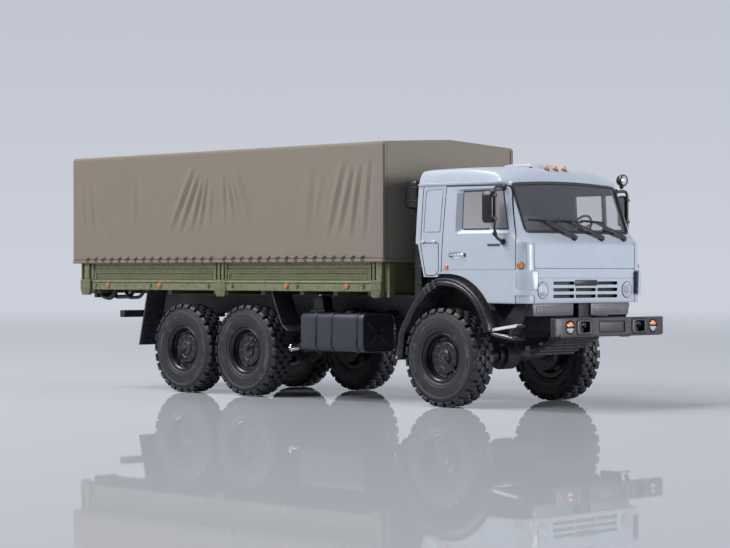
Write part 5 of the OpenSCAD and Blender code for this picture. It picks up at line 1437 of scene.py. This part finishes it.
def buildTank():
    low, high = reach("fuel_tank")
    (x0, x1), (y0, y1), (z0, z1) = tank["x"], tank["y"], tank["z"]
    body = Stock(tankGrey)
    outline = roundRect(y1 - y0, z1 - z0, tank["corner"], (y0 + y1) / 2, (z0 + z1) / 2, 8)
    middle = Vector(((y0 + y1) / 2, (z0 + z1) / 2))
    rows = []
    for x, grow in ((x0 + 0.35, 0.8), (x0 + 0.3, 0.93), (x0, 0.955), (x0 + 0.15, 0.99), (x0 + 0.6, 1),
                    (x1 - 0.6, 1), (x1 - 0.15, 0.99), (x1, 0.955), (x1 - 0.3, 0.93), (x1 - 0.35, 0.8)):
        rows.append([(x, *(middle + (p - middle) * grow)) for p in outline])
    body.rings(rows)
    # stamped cross
    for a, b in (((y0 + 2.4, z0 + 2.4), (y1 - 2.4, z1 - 2.4)),
                 ((y0 + 2.4, z1 - 2.4), (y1 - 2.4, z0 + 2.4))):
        for x in (x0 + 0.32, x1 - 0.32):
            body.sweep([(x, *a), (x, *b)], roundRect(1.3, 0.5, 0.2), (1, 0, 0))
    for x in tank["straps"]:
        band = [(x, *(middle + (p - middle) * 1.012)) for p in outline]
        body.look = boxBlack
        body.sweep(band, roundRect(0.3, 1.3, 0.1), (1, 0, 0), True)
        body.block((x - 0.6, x + 0.6), (y1 - 1, high.y), (23.6, 28), 0.2)
        body.block((x - 0.4, x + 0.4), (y0 - 0.45, y0 + 0.2), (z0 + 2.2, z0 + 4.4), 0.15)
    body.look = trimBlack
    body.spin([(1.7, -0.4), (1.7, 0.5), (1.5, 0.75), (0.5, 0.8), (0, 0.8)], (*tank["cap"], z1),
              (0, 0, 1), 24)
    body.block((-61.5, -55), (-22.5, -17.5), (z1 - 0.3, z1 + 0.9), 0.3)
    body.plate(softCorners([(-61, z1 + 0.7), (-55.6, z1 + 0.7), (-56.3, z1 + 5.2), (-60.3, z1 + 5.2)], 0.6),
               sideOn, -22, -18, 0.4)
    body.look = brightMetal
    body.spin([(0.5, 0), (0.5, 0.5), (0.3, 0.6), (0, 0.6)], (*tank["filterBolt"], z1 + 5.1),
              (0, 0, 1), 14)
    piece("tank_body", body, ["fuel_tank"])

    tip = Stock(brightMetal)
    mouth, root = Vector(tank["tipMouth"]), Vector(tank["tipRoot"])
    tip.spin([(0, 0), (0.7, 0), (0.85, -0.8), (1.2, -0.85), (1.3, -0.6), (1.12, 0), (1.1, 1.9), (0, 1.9)],
             mouth, root - mouth, 24)
    piece("exhaust_tip", tip)

    lines = Stock(trimBlack)
    for y, r, path in tank["airLines"]:
        lines.tube(softCorners([(x, y, z) for x, z in path], 1.2, 5, False), r)
    piece("air_lines", lines)

    low, high = reach("tail_lamps")
    rear = Stock(trimBlack)
    rear.block((low.x + 0.2, high.x), tail["y"], (low.z, high.z), 0.25)
    for look, a, b in tail["lenses"]:
        rear.look = look
        rear.block((low.x, low.x + 0.8), (a, b), (low.z + 0.35, high.z - 0.35), 0.2, 3)
    piece("tail_lamp_pair", rear.both(), ["tail_lamps"])


buildTank()


# CAD nodes that stay, with softened edges

kept = {
    "chassis_frame": (frameBlack, 0.12), "engine_block": (engineGrey, 0.4),
    "drive_line": (frameBlack, 0.25), "front_axle": (frameBlack, 0.2), "middle_axle": (frameBlack, 0.2),
    "rear_axle": (frameBlack, 0.2), "leaf_springs": (frameBlack, 0.08), "battery_box": (boxBlack, 0.3),
    "air_tanks": (boxBlack, 0.25), "exhaust": (exhaustMetal, 0.2), "rear_mudguards": (fenderBlack, 0.12),
    "underride_bar": (frameBlack, 0.2), "bed_floor": (bedFloorOlive, 0.15),
    "bed_front_board": (bedOlive, 0.15), "spare_carrier": (frameBlack, 0.15),
    "side_windows": (windowGlass, 0),
}
for node, (look, width) in kept.items():
    thing = frame["nodes"][node]
    thing.data.materials.clear()
    thing.data.materials.append(look)
    weld = thing.modifiers.new("weld", "WELD")
    weld.merge_threshold = 0.002 * mm
    if width:
        soft = thing.modifiers.new("soft", "BEVEL")
        soft.width, soft.segments = width * mm, 2
        soft.limit_method, soft.angle_limit = "ANGLE", math.radians(32)
        soft.harden_normals = True
print("frame dressed")


# Floor, light and camera

stage = {
    "floor": (0.43, 0.453, 0.494), "shine": 0.9, "blur": 0.02, "fade": (0.35, 1.9), "worldLight": 0.08,
    "darkSide": (-0.8, 0.25), "sheetHalf": 8.0, "sheetZ": -0.00003,
    "backdrop": (0.60, 0.63, 0.70), "backdropTop": (0.52, 0.55, 0.62),
    # name: place, aim, size, watts, colour
    "lamps": {
        "side": ((-0.28, -0.9, 0.8), (-0.02, 0, 0.05), 0.5, 11.0, (1.0, 0.98, 0.96)),
        "front": ((1.05, 0.33, 0.2), (0, 0, 0.05), 0.42, 9.0, (0.98, 0.98, 1.0)),
        "top": ((-0.5, -0.3, 1.05), (0, 0, 0.04), 0.6, 10.0, (1, 1, 1)),
    },
    "target": (-60, 0, 35), "azimuth": 44.964, "elevation": 0.346, "distance": 714.43, "focal": 2223.1,
    "imageWide": 730, "offset": (-1.217, 12.886),
}


def buildStage():
    floorMesh = bpy.data.meshes.new("floor")
    size, rim = stage["sheetHalf"], stage["sheetZ"]
    floorMesh.from_pydata([(-size, -size, rim), (size, -size, rim), (size, size, rim), (-size, size, rim)],
                          [], [(0, 1, 2, 3)])
    floor = bpy.data.objects.new("floor", floorMesh)
    bpy.context.scene.collection.objects.link(floor)
    coat = Coat("floorSheet")
    matt = coat.node("BsdfDiffuse", {}, {"Color": rgb(stage["floor"])})
    sheen = coat.node("BsdfGlossy", {}, {"Color": (1, 1, 1, 1), "Roughness": stage["blur"]})
    glance = coat.node("Fresnel", {}, {"IOR": 1.45})
    near = coat.node("MixShader", {}, {0: stage["shine"] * glance * glance, 1: matt, 2: sheen})
    glow = coat.node("Emission", {}, {"Color": rgb(stage["backdrop"])})
    far = coat.node("VectorMath", {"operation": "LENGTH"}, {0: coat.node("NewGeometry")}, out="Value")
    away = coat.node("MapRange", {"interpolation_type": "SMOOTHSTEP"},
                     {0: far, 1: stage["fade"][0], 2: stage["fade"][1]})
    # far off, the sheet runs into the backdrop
    both = coat.node("MixShader", {}, {0: away, 1: near, 2: glow})
    coat.feed(coat.tree.nodes["Material Output"], {0: both})
    floorMesh.materials.append(coat.material)

    world = bpy.data.worlds.new("studio")
    bpy.context.scene.world = world
    sky = Coat("backdrop", world)
    path = [sky.node("LightPath", out=name)
            for name in ("Is Camera Ray", "Is Glossy Ray", "Is Transmission Ray")]
    a, e = math.radians(stage["azimuth"]), math.radians(stage["elevation"])
    ahead = sky.node("VectorMath", {"operation": "DOT_PRODUCT"},
                     {0: sky.node("TexCoord"), 1: (-math.sin(a), math.cos(a), 0)}, out="Value")
    glossy = path[1] * sky.steps(ahead, *stage["darkSide"])  # one side of the studio is dark in reflections
    seen = path[0].sum("MAXIMUM", path[0].sum("MAXIMUM", path[0], glossy), path[2])
    height = sky.node("SeparateXYZ", {}, {"Vector": sky.node("TexCoord")}, out="Z")
    colour = sky.blend(sky.steps(height, 0.0, 0.14), rgb(stage["backdrop"]), rgb(stage["backdropTop"]))
    sky.feed(sky.tree.nodes["Background"],
             {0: colour, 1: stage["worldLight"] + (1 - stage["worldLight"]) * seen})

    for name, (place, aim, size, watts, colour) in stage["lamps"].items():
        light = bpy.data.lights.new(name, "AREA")
        light.shape, light.size, light.energy, light.color = "DISK", size, watts, colour
        lamp = bpy.data.objects.new(name, light)
        lamp.location = place
        lamp.rotation_euler = (Vector(aim) - Vector(place)).to_track_quat("-Z", "Y").to_euler()
        bpy.context.scene.collection.objects.link(lamp)

    back = Vector((math.sin(a) * math.cos(e), -math.cos(a) * math.cos(e), math.sin(e)))
    right = Vector((math.cos(a), math.sin(a), 0))
    up = back.cross(right)
    data = bpy.data.cameras.new("view")
    sensor, wide = 36, stage["imageWide"]
    data.sensor_width, data.lens = sensor, sensor * stage["focal"] / wide
    data.shift_x, data.shift_y = -stage["offset"][0] / wide, stage["offset"][1] / wide
    data.clip_start = 0.02
    camera = bpy.data.objects.new("view", data)
    place = intoFrame @ (Vector(stage["target"]) + back * stage["distance"])
    camera.matrix_world = Matrix.Translation(place) @ Matrix((right, up, back)).transposed().to_4x4()
    bpy.context.scene.collection.objects.link(camera)
    bpy.context.scene.camera = camera
    bpy.context.scene.view_settings.view_transform = "Standard"


buildStage()
print("stage set")
